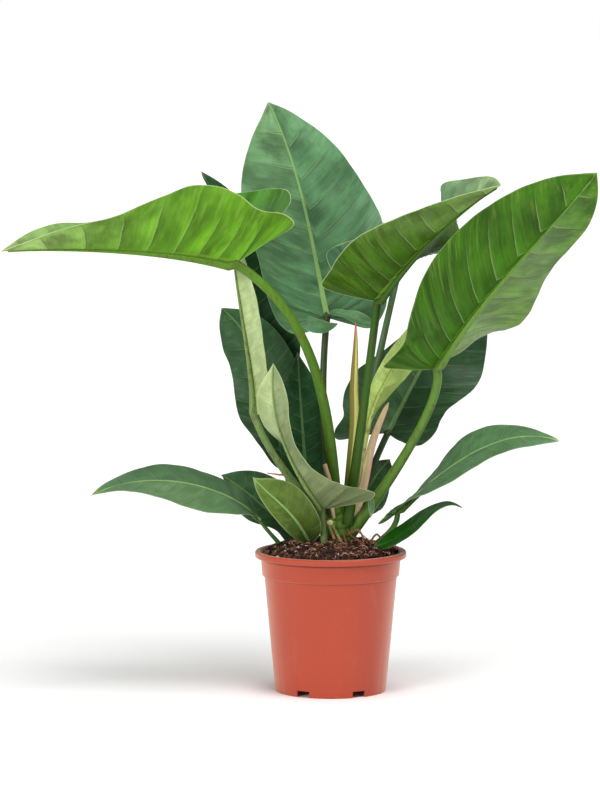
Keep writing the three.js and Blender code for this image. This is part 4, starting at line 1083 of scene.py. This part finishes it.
class PHILODENDRON_OT_pot(bpy.types.Operator):
    """Turn the pot, cut the gaps between its feet and its drains, and round its edges"""

    bl_idname = "philodendron.pot"
    bl_label = "Pot"

    feet: IntProperty(name="Feet", description="Feet round the base", default=6)

    def execute(self, context):
        settings = context.scene.philodendron_pot
        base, shoulder, neck = settings.base, settings.shoulder, settings.neck
        lip, wall, height = settings.lip, settings.wall, settings.height
        # Radius of the middle pad, width of the foot ring, and heights of the plate's underside and top.
        pad, hem, foot, plate = 0.020, 0.0026, 0.009, 0.012
        # Height of the step in the wall, how far it stands out, and height of the lip's underside.
        step, ledge, under_lip = 0.160, 0.003, height - 0.0085
        outside = [(pad, 0.0), (pad + 0.0015, foot), (base - 0.0002 - hem, foot), (base - hem, 0.0),
                   (base, 0.0), (shoulder, step), (shoulder + ledge, step + 0.0015), (neck, under_lip)]
        rim = [(lip - 0.001, under_lip), (lip, height - 0.007), (lip, height - 0.002), (lip - 0.0015, height),
               (neck + 0.0015, height), (neck - wall, height - 0.0025), (neck - wall, height - 0.009)]
        inside = [(shoulder + ledge - wall, step + 0.0025), (shoulder - wall, step + 0.0005),
                  (base + 0.0011 - wall, plate)]
        pot = lathe("nursery_pot", [*outside, *rim, *inside], 144)
        for i in range(self.feet):
            gap = math.tau * (i + 0.5) / self.feet - math.pi / 2
            middle = math.tau * i / self.feet - math.pi / 2
            self.notch(pot, base, gap, width=0.020, height=foot)
            self.notch(pot, base, middle, width=0.008, height=0.001)
            self.drain(pot, gap, (foot + plate) / 2)
        edge = pot.modifiers.new("Soft edges", "BEVEL")
        edge.width = 0.0004
        edge.segments = 2
        edge.limit_method = "ANGLE"
        edge.angle_limit = math.radians(30)
        edge.use_clamp_overlap = True
        apply_all(pot)
        plastic = plastic_material(tuple(settings.colour), under_lip, step + 0.0002)
        finished(rounded(pot), "pot", "pot", plastic)
        return {"FINISHED"}

    def notch(self, pot, radius, angle, width, height):
        """Cuts a square notch up from the floor through the foot ring."""
        below = 0.002
        only()
        bpy.ops.mesh.primitive_cube_add(size=1, location=(radius - 0.001, 0, height / 2 - below / 2))
        tool = bpy.context.object
        tool.scale = (0.010, width, height + below)
        placed(tool)
        tool.rotation_euler.z = angle
        cut(pot, placed(tool))

    def drain(self, pot, angle, height):
        """Cuts a round hole through the bottom plate."""
        out = 0.060
        only()
        bpy.ops.mesh.primitive_cylinder_add(vertices=32, radius=0.006, depth=0.02,
                                            location=(out * math.cos(angle), out * math.sin(angle), height))
        cut(pot, placed(bpy.context.object))


class PHILODENDRON_OT_soil(bpy.types.Operator):
    """Heap the potting mix in the pot and scatter its crumbs and fibres"""

    bl_idname = "philodendron.soil"
    bl_label = "Potting mix"

    seed: IntProperty(name="Seed", description="Start of the random draws", default=7)

    def execute(self, context):
        settings = context.scene.philodendron_soil
        draw = random.Random(self.seed)
        # Radius and height of the soil's edge at the wall, and how many rings of faces the heap has.
        edge, flat, turns = 0.0928, 0.184, 46
        radii = [edge * (1 - i / turns) for i in range(turns)]
        profile = [(0.0753, 0.0125), (0.0893, 0.1595), (0.0927, 0.1650), (edge, flat)]
        profile += [(radius, soil_level(settings, radius)) for radius in radii]
        heap = lathe("soil_heap", [*profile, (0.0006, settings.middle)], 180)
        for vertex in heap.data.vertices:
            radius = math.hypot(vertex.co.x, vertex.co.y)
            if vertex.co.z > flat + 0.001:
                fine = 0.0016 * noise.fractal(vertex.co * 260, 0.7, 2.1, 5)
                vertex.co.z += (fine + clod(vertex.co)) * min((edge + 0.0007 - radius) / 0.004, 1)
        one_tint(heap, paint(58, 36, 30))
        rounded(heap, 80)
        peat = tinted_material("peat", roughness=0.95, scale=700, depth=0.0012, spread=0.6)
        finished(heap, "soil", "soil", peat)
        crumbs = self.scatter_crumbs(settings, draw)
        crumb_peat = tinted_material("peat_crumb", roughness=0.95, scale=1400, depth=0.0004, spread=0.45)
        finished(crumbs, "soil", "soil", crumb_peat)
        fibres = self.scatter_fibres(settings, draw)
        straw = tinted_material("peat_fibre", roughness=0.9, scale=900, depth=0.0002, spread=0.3)
        finished(fibres, "soil", "soil", straw)
        return {"FINISHED"}

    def spot(self, settings, draw, rim):
        """A random place on the heap, inside a rim."""
        radius = rim * math.sqrt(draw.random())
        angle = math.tau * draw.random()
        x, y = radius * math.cos(angle), radius * math.sin(angle)
        return Vector((x, y, soil_level(settings, radius) + clod(Vector((x, y, 0.2)))))

    def scatter_crumbs(self, settings, draw):
        """Bits of peat, each a small ball of twenty faces with its corners moved about."""
        only()
        bpy.ops.mesh.primitive_ico_sphere_add(subdivisions=1, radius=1, location=(0, 0, 0))
        seed_piece = bpy.context.object
        shape = [vertex.co.copy() for vertex in seed_piece.data.vertices]
        rings = [tuple(polygon.vertices) for polygon in seed_piece.data.polygons]
        bpy.data.objects.remove(seed_piece, do_unlink=True)
        corners, faces, tints = [], [], []
        browns = ((60, 34, 27), (42, 24, 20), (92, 56, 42), (122, 80, 60), (30, 18, 16), (36, 22, 18))
        for _ in range(settings.crumbs):
            middle = self.spot(settings, draw, rim=0.0925)
            size = 0.0007 + 0.0027 * draw.random() ** 2
            pale = draw.random() < 0.02
            colour = paint(214, 200, 184) if pale else paint(*draw.choice(browns))
            angle = math.tau * draw.random()
            turn = Matrix.Rotation(angle, 3, (draw.random(), draw.random(), draw.random() + 0.1))
            stretch = Vector((1 + 0.8 * draw.random(), 0.8 + 0.5 * draw.random(), 0.6 + 0.3 * draw.random()))
            first = len(corners)
            for point in shape:
                jolt = 1 + 0.35 * (draw.random() - 0.5)
                corner = turn @ Vector([a * b * jolt * size for a, b in zip(point, stretch)])
                corners.append(middle + corner + Vector((0, 0, size * 0.35)))
                tints.append(colour)
            faces.extend(tuple(first + k for k in ring) for ring in rings)
        return coloured(from_faces("soil_crumbs", corners, faces), "tint", tints)

    def scatter_fibres(self, settings, draw):
        """Straws of three sides that lie bent on the heap, and thin out to their ends."""
        corners, faces, tints = [], [], []
        straws = ((176, 122, 94), (140, 92, 70), (208, 160, 128), (232, 190, 162), (104, 64, 48))
        steps, rim = 5, 0.0925
        for _ in range(settings.fibres):
            start = self.spot(settings, draw, rim=0.088)
            heading = math.tau * draw.random()
            length = 0.004 + 0.012 * draw.random() ** 1.5
            width = 0.00022 + 0.00028 * draw.random()
            bend = 2.4 * (draw.random() - 0.5)
            lift = 0.0012 + 0.0022 * draw.random()
            colour = paint(*draw.choice(straws))
            first = len(corners)
            for k in range(steps + 1):
                share = k / steps
                angle = heading + bend * share
                start = start + Vector((math.cos(angle), math.sin(angle), 0)) * (length / steps)
                radius = min(math.hypot(start.x, start.y), rim)
                height = soil_level(settings, radius) + lift * math.sin(math.pi * share) + 0.0006
                side = Vector((-math.sin(angle), math.cos(angle), 0)) * width * (1.15 - share)
                middle = Vector((start.x, start.y, height))
                corners += [middle - side, middle + side, middle + Vector((0, 0, width * 1.4))]
                tints += [colour] * 3
            for k in range(steps):
                a = first + 3 * k
                for m in range(3):
                    n = (m + 1) % 3
                    faces.append((a + m, a + n, a + 3 + n, a + 3 + m))
            last = first + 3 * steps
            faces += [(first + 2, first + 1, first), (last, last + 1, last + 2)]
        return coloured(from_faces("soil_fibres", corners, faces), "tint", tints)


def coloured_rings(stem):
    """Browns the leaf scars that ring the stem."""
    brown = np.asarray(paint(92, 78, 40))
    for vertex, colour in zip(stem.data.vertices, stem.data.attributes["tint"].data):
        up = vertex.co.z / MM - STEM["level"]
        share = max(math.exp(-((up - scar) / 1.4) ** 2) for scar in SCARS) * 0.7
        colour.color = np.asarray(colour.color) * (1 - share) + brown * share


class PHILODENDRON_OT_stem(bpy.types.Operator):
    """Draw up the short stem with its rings of leaf scars, and set the side bud and the stubs on it"""

    bl_idname = "philodendron.stem"
    bl_label = "Stem"

    def execute(self, context):
        middle = Vector((STEM["x"], STEM["y"], 0)) * MM
        rings = [(STEM["radius"] - inward, STEM["level"] + up) for inward, up in RINGS]
        profile = [(STEM["radius"] - 1, STEM["foot"]), *rings, (1, STEM["top"])]
        stem = lathe("ringed_stem", [(radius * MM, height * MM) for radius, height in profile], 40)
        stem.location = middle
        placed(stem)
        one_tint(stem, paint(86, 130, 36))
        coloured_rings(stem)
        bud = one_tint(lump(0.0075, 16, (0, -0.012, 0.232), (1.0, 0.9, 1.25)), paint(98, 152, 40))
        scar = one_tint(lump(0.0042, 12, (-0.001, -0.0178, 0.236), (1.0, 0.5, 0.9)), paint(232, 224, 178))
        stubs = [self.stub(points, radii) for points, radii in STUBS]
        stem = joined("ringed_stem", stem, bud, scar, *stubs)
        for vertex in stem.data.vertices:
            out = Vector((vertex.co.x - middle.x, vertex.co.y - middle.y, 0))
            if out.length > 0.002:
                vertex.co += out.normalized() * 0.0007 * noise.noise(vertex.co * 160)
        rounded(stem, 70)
        wax = tinted_material("waxy_stem", roughness=0.45, scale=300, depth=0.0005, spread=0.35,
                              stretch=(1, 1, 2))
        finished(stem, "stem", "stem", wax)
        return {"FINISHED"}

    def stub(self, points, radii):
        """A green stub, pink at its sides and end."""
        stub = rod("stub", points, radii, 3)
        middle = np.asarray(points, float).mean(axis=0) * MM
        out = [abs(corner.co.x - middle[0]) + abs(corner.co.z - middle[2]) for corner in stub.data.vertices]
        far = 0.72 * max(out)
        green, pink = paint(112, 150, 62), paint(196, 112, 104)
        return coloured(stub, "tint", [pink if reach > far else green for reach in out])


class PHILODENDRON_OT_leaves(bpy.types.Operator):
    """Grow every leaf: its waved blade, its midrib and its stalk"""

    bl_idname = "philodendron.leaves"
    bl_label = "Leaves"

    def execute(self, context):
        settings = context.scene.philodendron_leaf
        upper = blade_material("leaf_upper", rib=paint(148, 186, 112), rib_share=0.85, vein_share=0.8,
                               vein_pale=0.20, painted_highlight=paint(132, 176, 128), raised=-0.8)
        under = blade_material("leaf_under", rib=paint(122, 164, 56), rib_share=0.6, vein_share=0.9,
                               vein_pale=0.34, painted_highlight=PAINTED_UNDER_HIGHLIGHT, raised=0.8)
        stalk = stalk_material()
        slots = {entry["node"]: entry["material_slot"] for entry in frame["record"]["subparts"]}
        for entry in LEAVES:
            leaf = dict(PLAIN, **entry)
            ears = [dict(leaf, **dict(EAR, **ear)) for ear in EARS.get(leaf["name"], ())]
            for shape in (leaf, *ears):
                shape["curve"] = Handled(shape["spine"])
            blades = [self.blade(shape, settings, (upper, under, stalk)) for shape in (leaf, *ears)]
            piece = joined(leaf["name"].replace("leaf", "grown"), *blades, self.stalk(leaf, stalk))
            rounded(piece, 60)
            finished(piece, slots[leaf["name"]], leaf["name"])
        return {"FINISHED"}

    def blade(self, leaf, settings, materials):
        """A blade with its upper side in the first material and its underside in the second."""
        made = blade_mesh(leaf, settings)
        blade = from_faces("blade", made["corners"], made["faces"])
        for name in ("tint", "marks", "reach"):
            coloured(blade, name, made[name])
        for material in materials:
            blade.data.materials.append(material)
        blade.data.polygons.foreach_set("material_index", made["sides"])
        return blade

    def stalk(self, leaf, material):
        """The stalk from its foot to the joint, and the midrib under the blade."""
        foot, joint = leaf["thick"]
        shares = np.linspace(0, 1, 33)
        points, _ = Handled(leaf["stalk"]).share(shares)
        radii = (foot + (joint - foot) * np.minimum(shares * 1.5, 1)) / 2
        radii = radii * (1 + 0.10 * np.exp(-((shares - 1) / 0.02) ** 2))
        along = np.linspace(0, 0.97, 34)[1:]
        place, _, up, _, _ = stations(leaf, along)
        rib = rib_radius(leaf, along)
        place = place - up * (rib + 0.05)[:, None]
        points, radii = np.vstack([points, place]), np.concatenate([radii, rib])
        piece = rod("stalk", points, radii, 4)
        corners = np.array([vertex.co for vertex in piece.data.vertices]) / MM
        nearest = np.argmin(np.linalg.norm(corners[:, None, :] - points[None, :, :], axis=2), axis=1)
        colours = tinted(leaf, 2, nearest / len(points), 0.35)
        scar = 0.45 * np.exp(-((nearest - (len(shares) - 1)) / 0.8) ** 2)[:, None]
        coloured(piece, "tint", colours * (1 - scar) + np.asarray(paint(70, 60, 30)) * scar)
        piece.data.materials.append(material)
        return piece


class PHILODENDRON_OT_spike(bpy.types.Operator):
    """Roll the new leaf that has not opened yet"""

    bl_idname = "philodendron.spike"
    bl_label = "Rolled leaf"

    def execute(self, context):
        rings, sides = 60, 32
        shares = np.linspace(0, 1, rings)
        path, front, right = framed(SPIKE["path"], (0.1, -1, 0), rings)
        radii = np.maximum(through(SPIKE["radii"], shares), 0.25)
        corners, tints = [], []
        for i, share in enumerate(shares):
            for k in range(sides):
                angle = math.tau * k / sides
                lap = 0.16 * max(math.cos(angle - 1.15), 0) ** 6
                furrow = 0.10 * max(math.cos(angle - 1.9), 0) ** 8
                flat = 0.86 + 0.14 * abs(math.cos(angle))
                reach = radii[i] * (1 + lap - furrow) * flat
                out = front[i] * math.sin(angle) + right[i] * math.cos(angle)
                corners.append((path[i] + out * reach) * MM)
                tints.append(self.tint(share, math.cos(angle)))
        faces = [(i * sides + k, i * sides + (k + 1) % sides, (i + 1) * sides + (k + 1) % sides,
                  (i + 1) * sides + k) for i in range(rings - 1) for k in range(sides)]
        faces.append(tuple(reversed(range(sides))))
        faces.append(tuple((rings - 1) * sides + k for k in range(sides)))
        piece = coloured(from_faces("rolled_leaf", corners, faces), "tint", tints)
        rounded(facing_out(piece), 60)
        skin = tinted_material("rolled_leaf_skin", roughness=0.42, scale=260, depth=0.0003, spread=0.22,
                               stretch=(1, 1, 0.05))
        finished(piece, "spike", "spike", skin)
        return {"FINISHED"}

    def tint(self, share, aside):
        """Cream on one side, green to olive on the other, with red rims and a red tip."""
        colours = ((112, 134, 44), (136, 122, 44), (214, 214, 122), (200, 92, 84), (204, 100, 84))
        green, olive, cream, rim, tip = (np.asarray(paint(*colour)) for colour in colours)
        colour = cream if aside > -0.15 else green + (olive - green) * min(share * 1.6, 1)
        edge = math.exp(-((aside - 0.86) / 0.10) ** 2) + 0.7 * math.exp(-((aside + 0.15) / 0.05) ** 2)
        colour = colour + (rim - colour) * min(edge, 1) * 0.75
        return colour + (tip - colour) * smooth(share, 0.78, 0.97) * 0.85


class PHILODENDRON_OT_sheaths(bpy.types.Operator):
    """Bend the papery sheaths that once wrapped a young leaf"""

    bl_idname = "philodendron.sheaths"
    bl_label = "Sheaths"

    def execute(self, context):
        paper = tinted_material("papery_sheath", roughness=0.6, scale=240, depth=0.0003, spread=0.25,
                                stretch=(1, 1, 0.05))
        rows, columns = 40, 12
        shares = np.linspace(0, 1, rows)
        for entry in SHEATHS:
            path, back, side = framed(entry["path"], entry["open"], rows)
            half = through(entry["width"], shares) / 2
            half = half * (1 - entry["taper"] * smooth(shares, 0.93, 1.0))
            corners, tints = [], []
            for i in range(rows):
                for k in range(columns + 1):
                    across = 2 * k / columns - 1
                    offset = side[i] * half[i] * across - back[i] * 0.35 * half[i] * across ** 2
                    corners.append((path[i] + offset) * MM)
                    tints.append(self.tint(shares[i], across, *entry["green"]))
            step = columns + 1
            faces = [(i * step + k, (i + 1) * step + k, (i + 1) * step + k + 1, i * step + k + 1)
                     for i in range(rows - 1) for k in range(columns)]
            piece = coloured(from_faces("papery_" + entry["name"], corners, faces), "tint", tints)
            wall = piece.modifiers.new("Thickness", "SOLIDIFY")
            wall.thickness = 0.0007
            wall.offset = 0
            apply_all(piece)
            rounded(facing_out(piece), 60)
            finished(piece, "sheath", entry["name"], paper)
        return {"FINISHED"}

    def tint(self, share, across, all_over, stripe):
        """Pale pink with some green, and red along its edges."""
        colours = ((255, 206, 184), (192, 216, 104), (222, 108, 98))
        pink, green, edge = (np.asarray(paint(*colour)) for colour in colours)
        band = all_over + stripe * math.exp(-((across + 0.35) / 0.28) ** 2)
        rim = math.exp(-((abs(across) - 1) / 0.10) ** 2) * (0.35 + 0.5 * share)
        colour = pink + (green - pink) * band * 0.85
        return colour + (edge - colour) * rim


class PHILODENDRON_OT_roots(bpy.types.Operator):
    """Lay the wiry roots that leave the stem, and the dry twig"""

    bl_idname = "philodendron.roots"
    bl_label = "Roots and twig"

    seed: IntProperty(name="Seed", description="Start of the noise that bends the roots", default=7, min=1)

    def execute(self, context):
        noise.seed_set(self.seed)
        bark = tinted_material("root_bark", roughness=0.9, scale=600, depth=0.0004, spread=0.4)
        shares, strand_shares = np.linspace(0, 1, 40), np.linspace(0, 1, 24)
        for entry in (*ROOTS, TWIG):
            path = through(entry["path"], shares)
            shake = [noise.noise_vector(Vector(point) * 0.35) for point in path]
            path = path + np.array([tuple(v) for v in shake]) * 0.5
            name = "dry_" + entry["name"]
            piece = rod(name, path, through(entry["radii"], shares), 2)
            strands = [rod("strand", through(route, strand_shares), 0.9 - 0.4 * strand_shares, 2)
                       for route in STRANDS.get(entry["name"], ())]
            piece = joined(name, piece, *strands)
            one_tint(piece, paint(206, 138, 70) if entry is TWIG else paint(140, 90, 68))
            rounded(piece, 60)
            finished(piece, "root", entry["name"], bark)
        return {"FINISHED"}


class PHILODENDRON_OT_stage(bpy.types.Operator):
    """Set the floor, the soft studio lights and the camera"""

    bl_idname = "philodendron.stage"
    bl_label = "Stage"

    def execute(self, context):
        settings = context.scene.philodendron_stage
        self.lay_floor(settings.floor_size)
        for name, place, spread, power in (("key_sun", (1.3, -1.4, 3.6), 44, 2.1),
                                           ("low_sun", (-3.0, -3.8, 1.6), 22, 1.4)):
            light = bpy.data.lights.new(name, "SUN")
            light.angle = math.radians(spread)
            light.energy = power
            lamp = bpy.data.objects.new(name, light)
            lamp.location = place
            lamp.rotation_euler = Vector(place).to_track_quat("Z", "Y").to_euler()
            context.scene.collection.objects.link(lamp)
        context.scene.world = self.studio_air()
        context.scene.view_settings.view_transform = "Standard"
        camera = bpy.data.objects.new("photo_camera", bpy.data.cameras.new("photo_camera"))
        camera.data.lens = settings.lens
        camera.data.clip_end = 200
        camera.location = (settings.aside, -settings.distance, settings.height)
        camera.rotation_euler = (math.pi / 2 - settings.tilt, 0, 0)
        context.scene.collection.objects.link(camera)
        context.scene.camera = camera
        return {"FINISHED"}

    def lay_floor(self, size):
        """A white floor with a faint painted glow of its own, which lightens the shadows on it, left out
        under the pot so that a painted shade stays round its foot.
        """
        only()
        bpy.ops.mesh.primitive_plane_add(size=size, location=(0, 0, 0))
        floor = bpy.context.object
        floor.name = "studio_floor"
        material, tree, shader = new_material("studio_floor", 0.9, 0.1)
        white = paint(255, 255, 255)
        wire(tree, shaded(tree, white, swing(tree, speckle(tree, 3, 2), 0.02)), shader.inputs["Base Color"])
        wire(tree, white, shader.inputs["Emission Color"])
        place = tree.nodes.new("ShaderNodeTexCoord")
        out = tree.nodes.new("ShaderNodeVectorMath")
        out.operation = "LENGTH"
        wire(tree, place.outputs["Object"], out.inputs[0])
        # Painted light: the floor glows away from the pot, and less and less toward its foot, which leaves a
        # painted shade there.
        glow = fade(tree, out.outputs["Value"], 0.070, 0.130, 0.0, 0.16)
        wire(tree, glow, shader.inputs["Emission Strength"])
        floor.data.materials.append(material)

    def studio_air(self):
        """A world that looks white to the camera, and lights the plant more softly."""
        world = bpy.data.worlds.new("studio_air")
        world.use_nodes = True
        tree = world.node_tree
        air = tree.nodes["Background"]
        air.inputs["Color"].default_value = (1, 1, 1, 1)
        seen = tree.nodes.new("ShaderNodeLightPath")
        wire(tree, fade(tree, seen.outputs["Is Camera Ray"], 0, 1, 0.28, 1.0), air.inputs["Strength"])
        return world


class PHILODENDRON_PT_panel(bpy.types.Panel):
    """Lists the pieces of the potted philodendron"""

    bl_label = "Potted Philodendron"
    bl_idname = "PHILODENDRON_PT_panel"
    bl_space_type = "VIEW_3D"
    bl_region_type = "UI"
    bl_category = "Philodendron"

    def draw(self, context):
        column = self.layout.column()
        for operator in OPERATORS:
            column.operator(operator.bl_idname)
        for name in SETTINGS:
            group = getattr(context.scene, name)
            box = self.layout.box()
            for key in group.__annotations__:
                box.prop(group, key)


OPERATORS = (PHILODENDRON_OT_pot, PHILODENDRON_OT_soil, PHILODENDRON_OT_stem, PHILODENDRON_OT_leaves,
             PHILODENDRON_OT_spike, PHILODENDRON_OT_sheaths, PHILODENDRON_OT_roots, PHILODENDRON_OT_stage)
SETTINGS = {"philodendron_pot": PotSettings, "philodendron_soil": SoilSettings,
            "philodendron_leaf": LeafSettings, "philodendron_stage": StageSettings}


def register():
    """Registers the settings, the operators and the panel."""
    for kind in (*SETTINGS.values(), *OPERATORS, PHILODENDRON_PT_panel):
        bpy.utils.register_class(kind)
    for name, kind in SETTINGS.items():
        setattr(bpy.types.Scene, name, PointerProperty(type=kind))


def unregister():
    """Takes them out again, in reverse order."""
    for name in SETTINGS:
        delattr(bpy.types.Scene, name)
    for kind in reversed((*SETTINGS.values(), *OPERATORS, PHILODENDRON_PT_panel)):
        bpy.utils.unregister_class(kind)


def main():
    """Builds the plant and its stage."""
    register()
    bpy.ops.philodendron.pot()
    bpy.ops.philodendron.soil()
    bpy.ops.philodendron.stem()
    bpy.ops.philodendron.leaves()
    bpy.ops.philodendron.spike()
    bpy.ops.philodendron.sheaths()
    bpy.ops.philodendron.roots()
    bpy.ops.philodendron.stage()


if __name__ == "__main__":
    main()
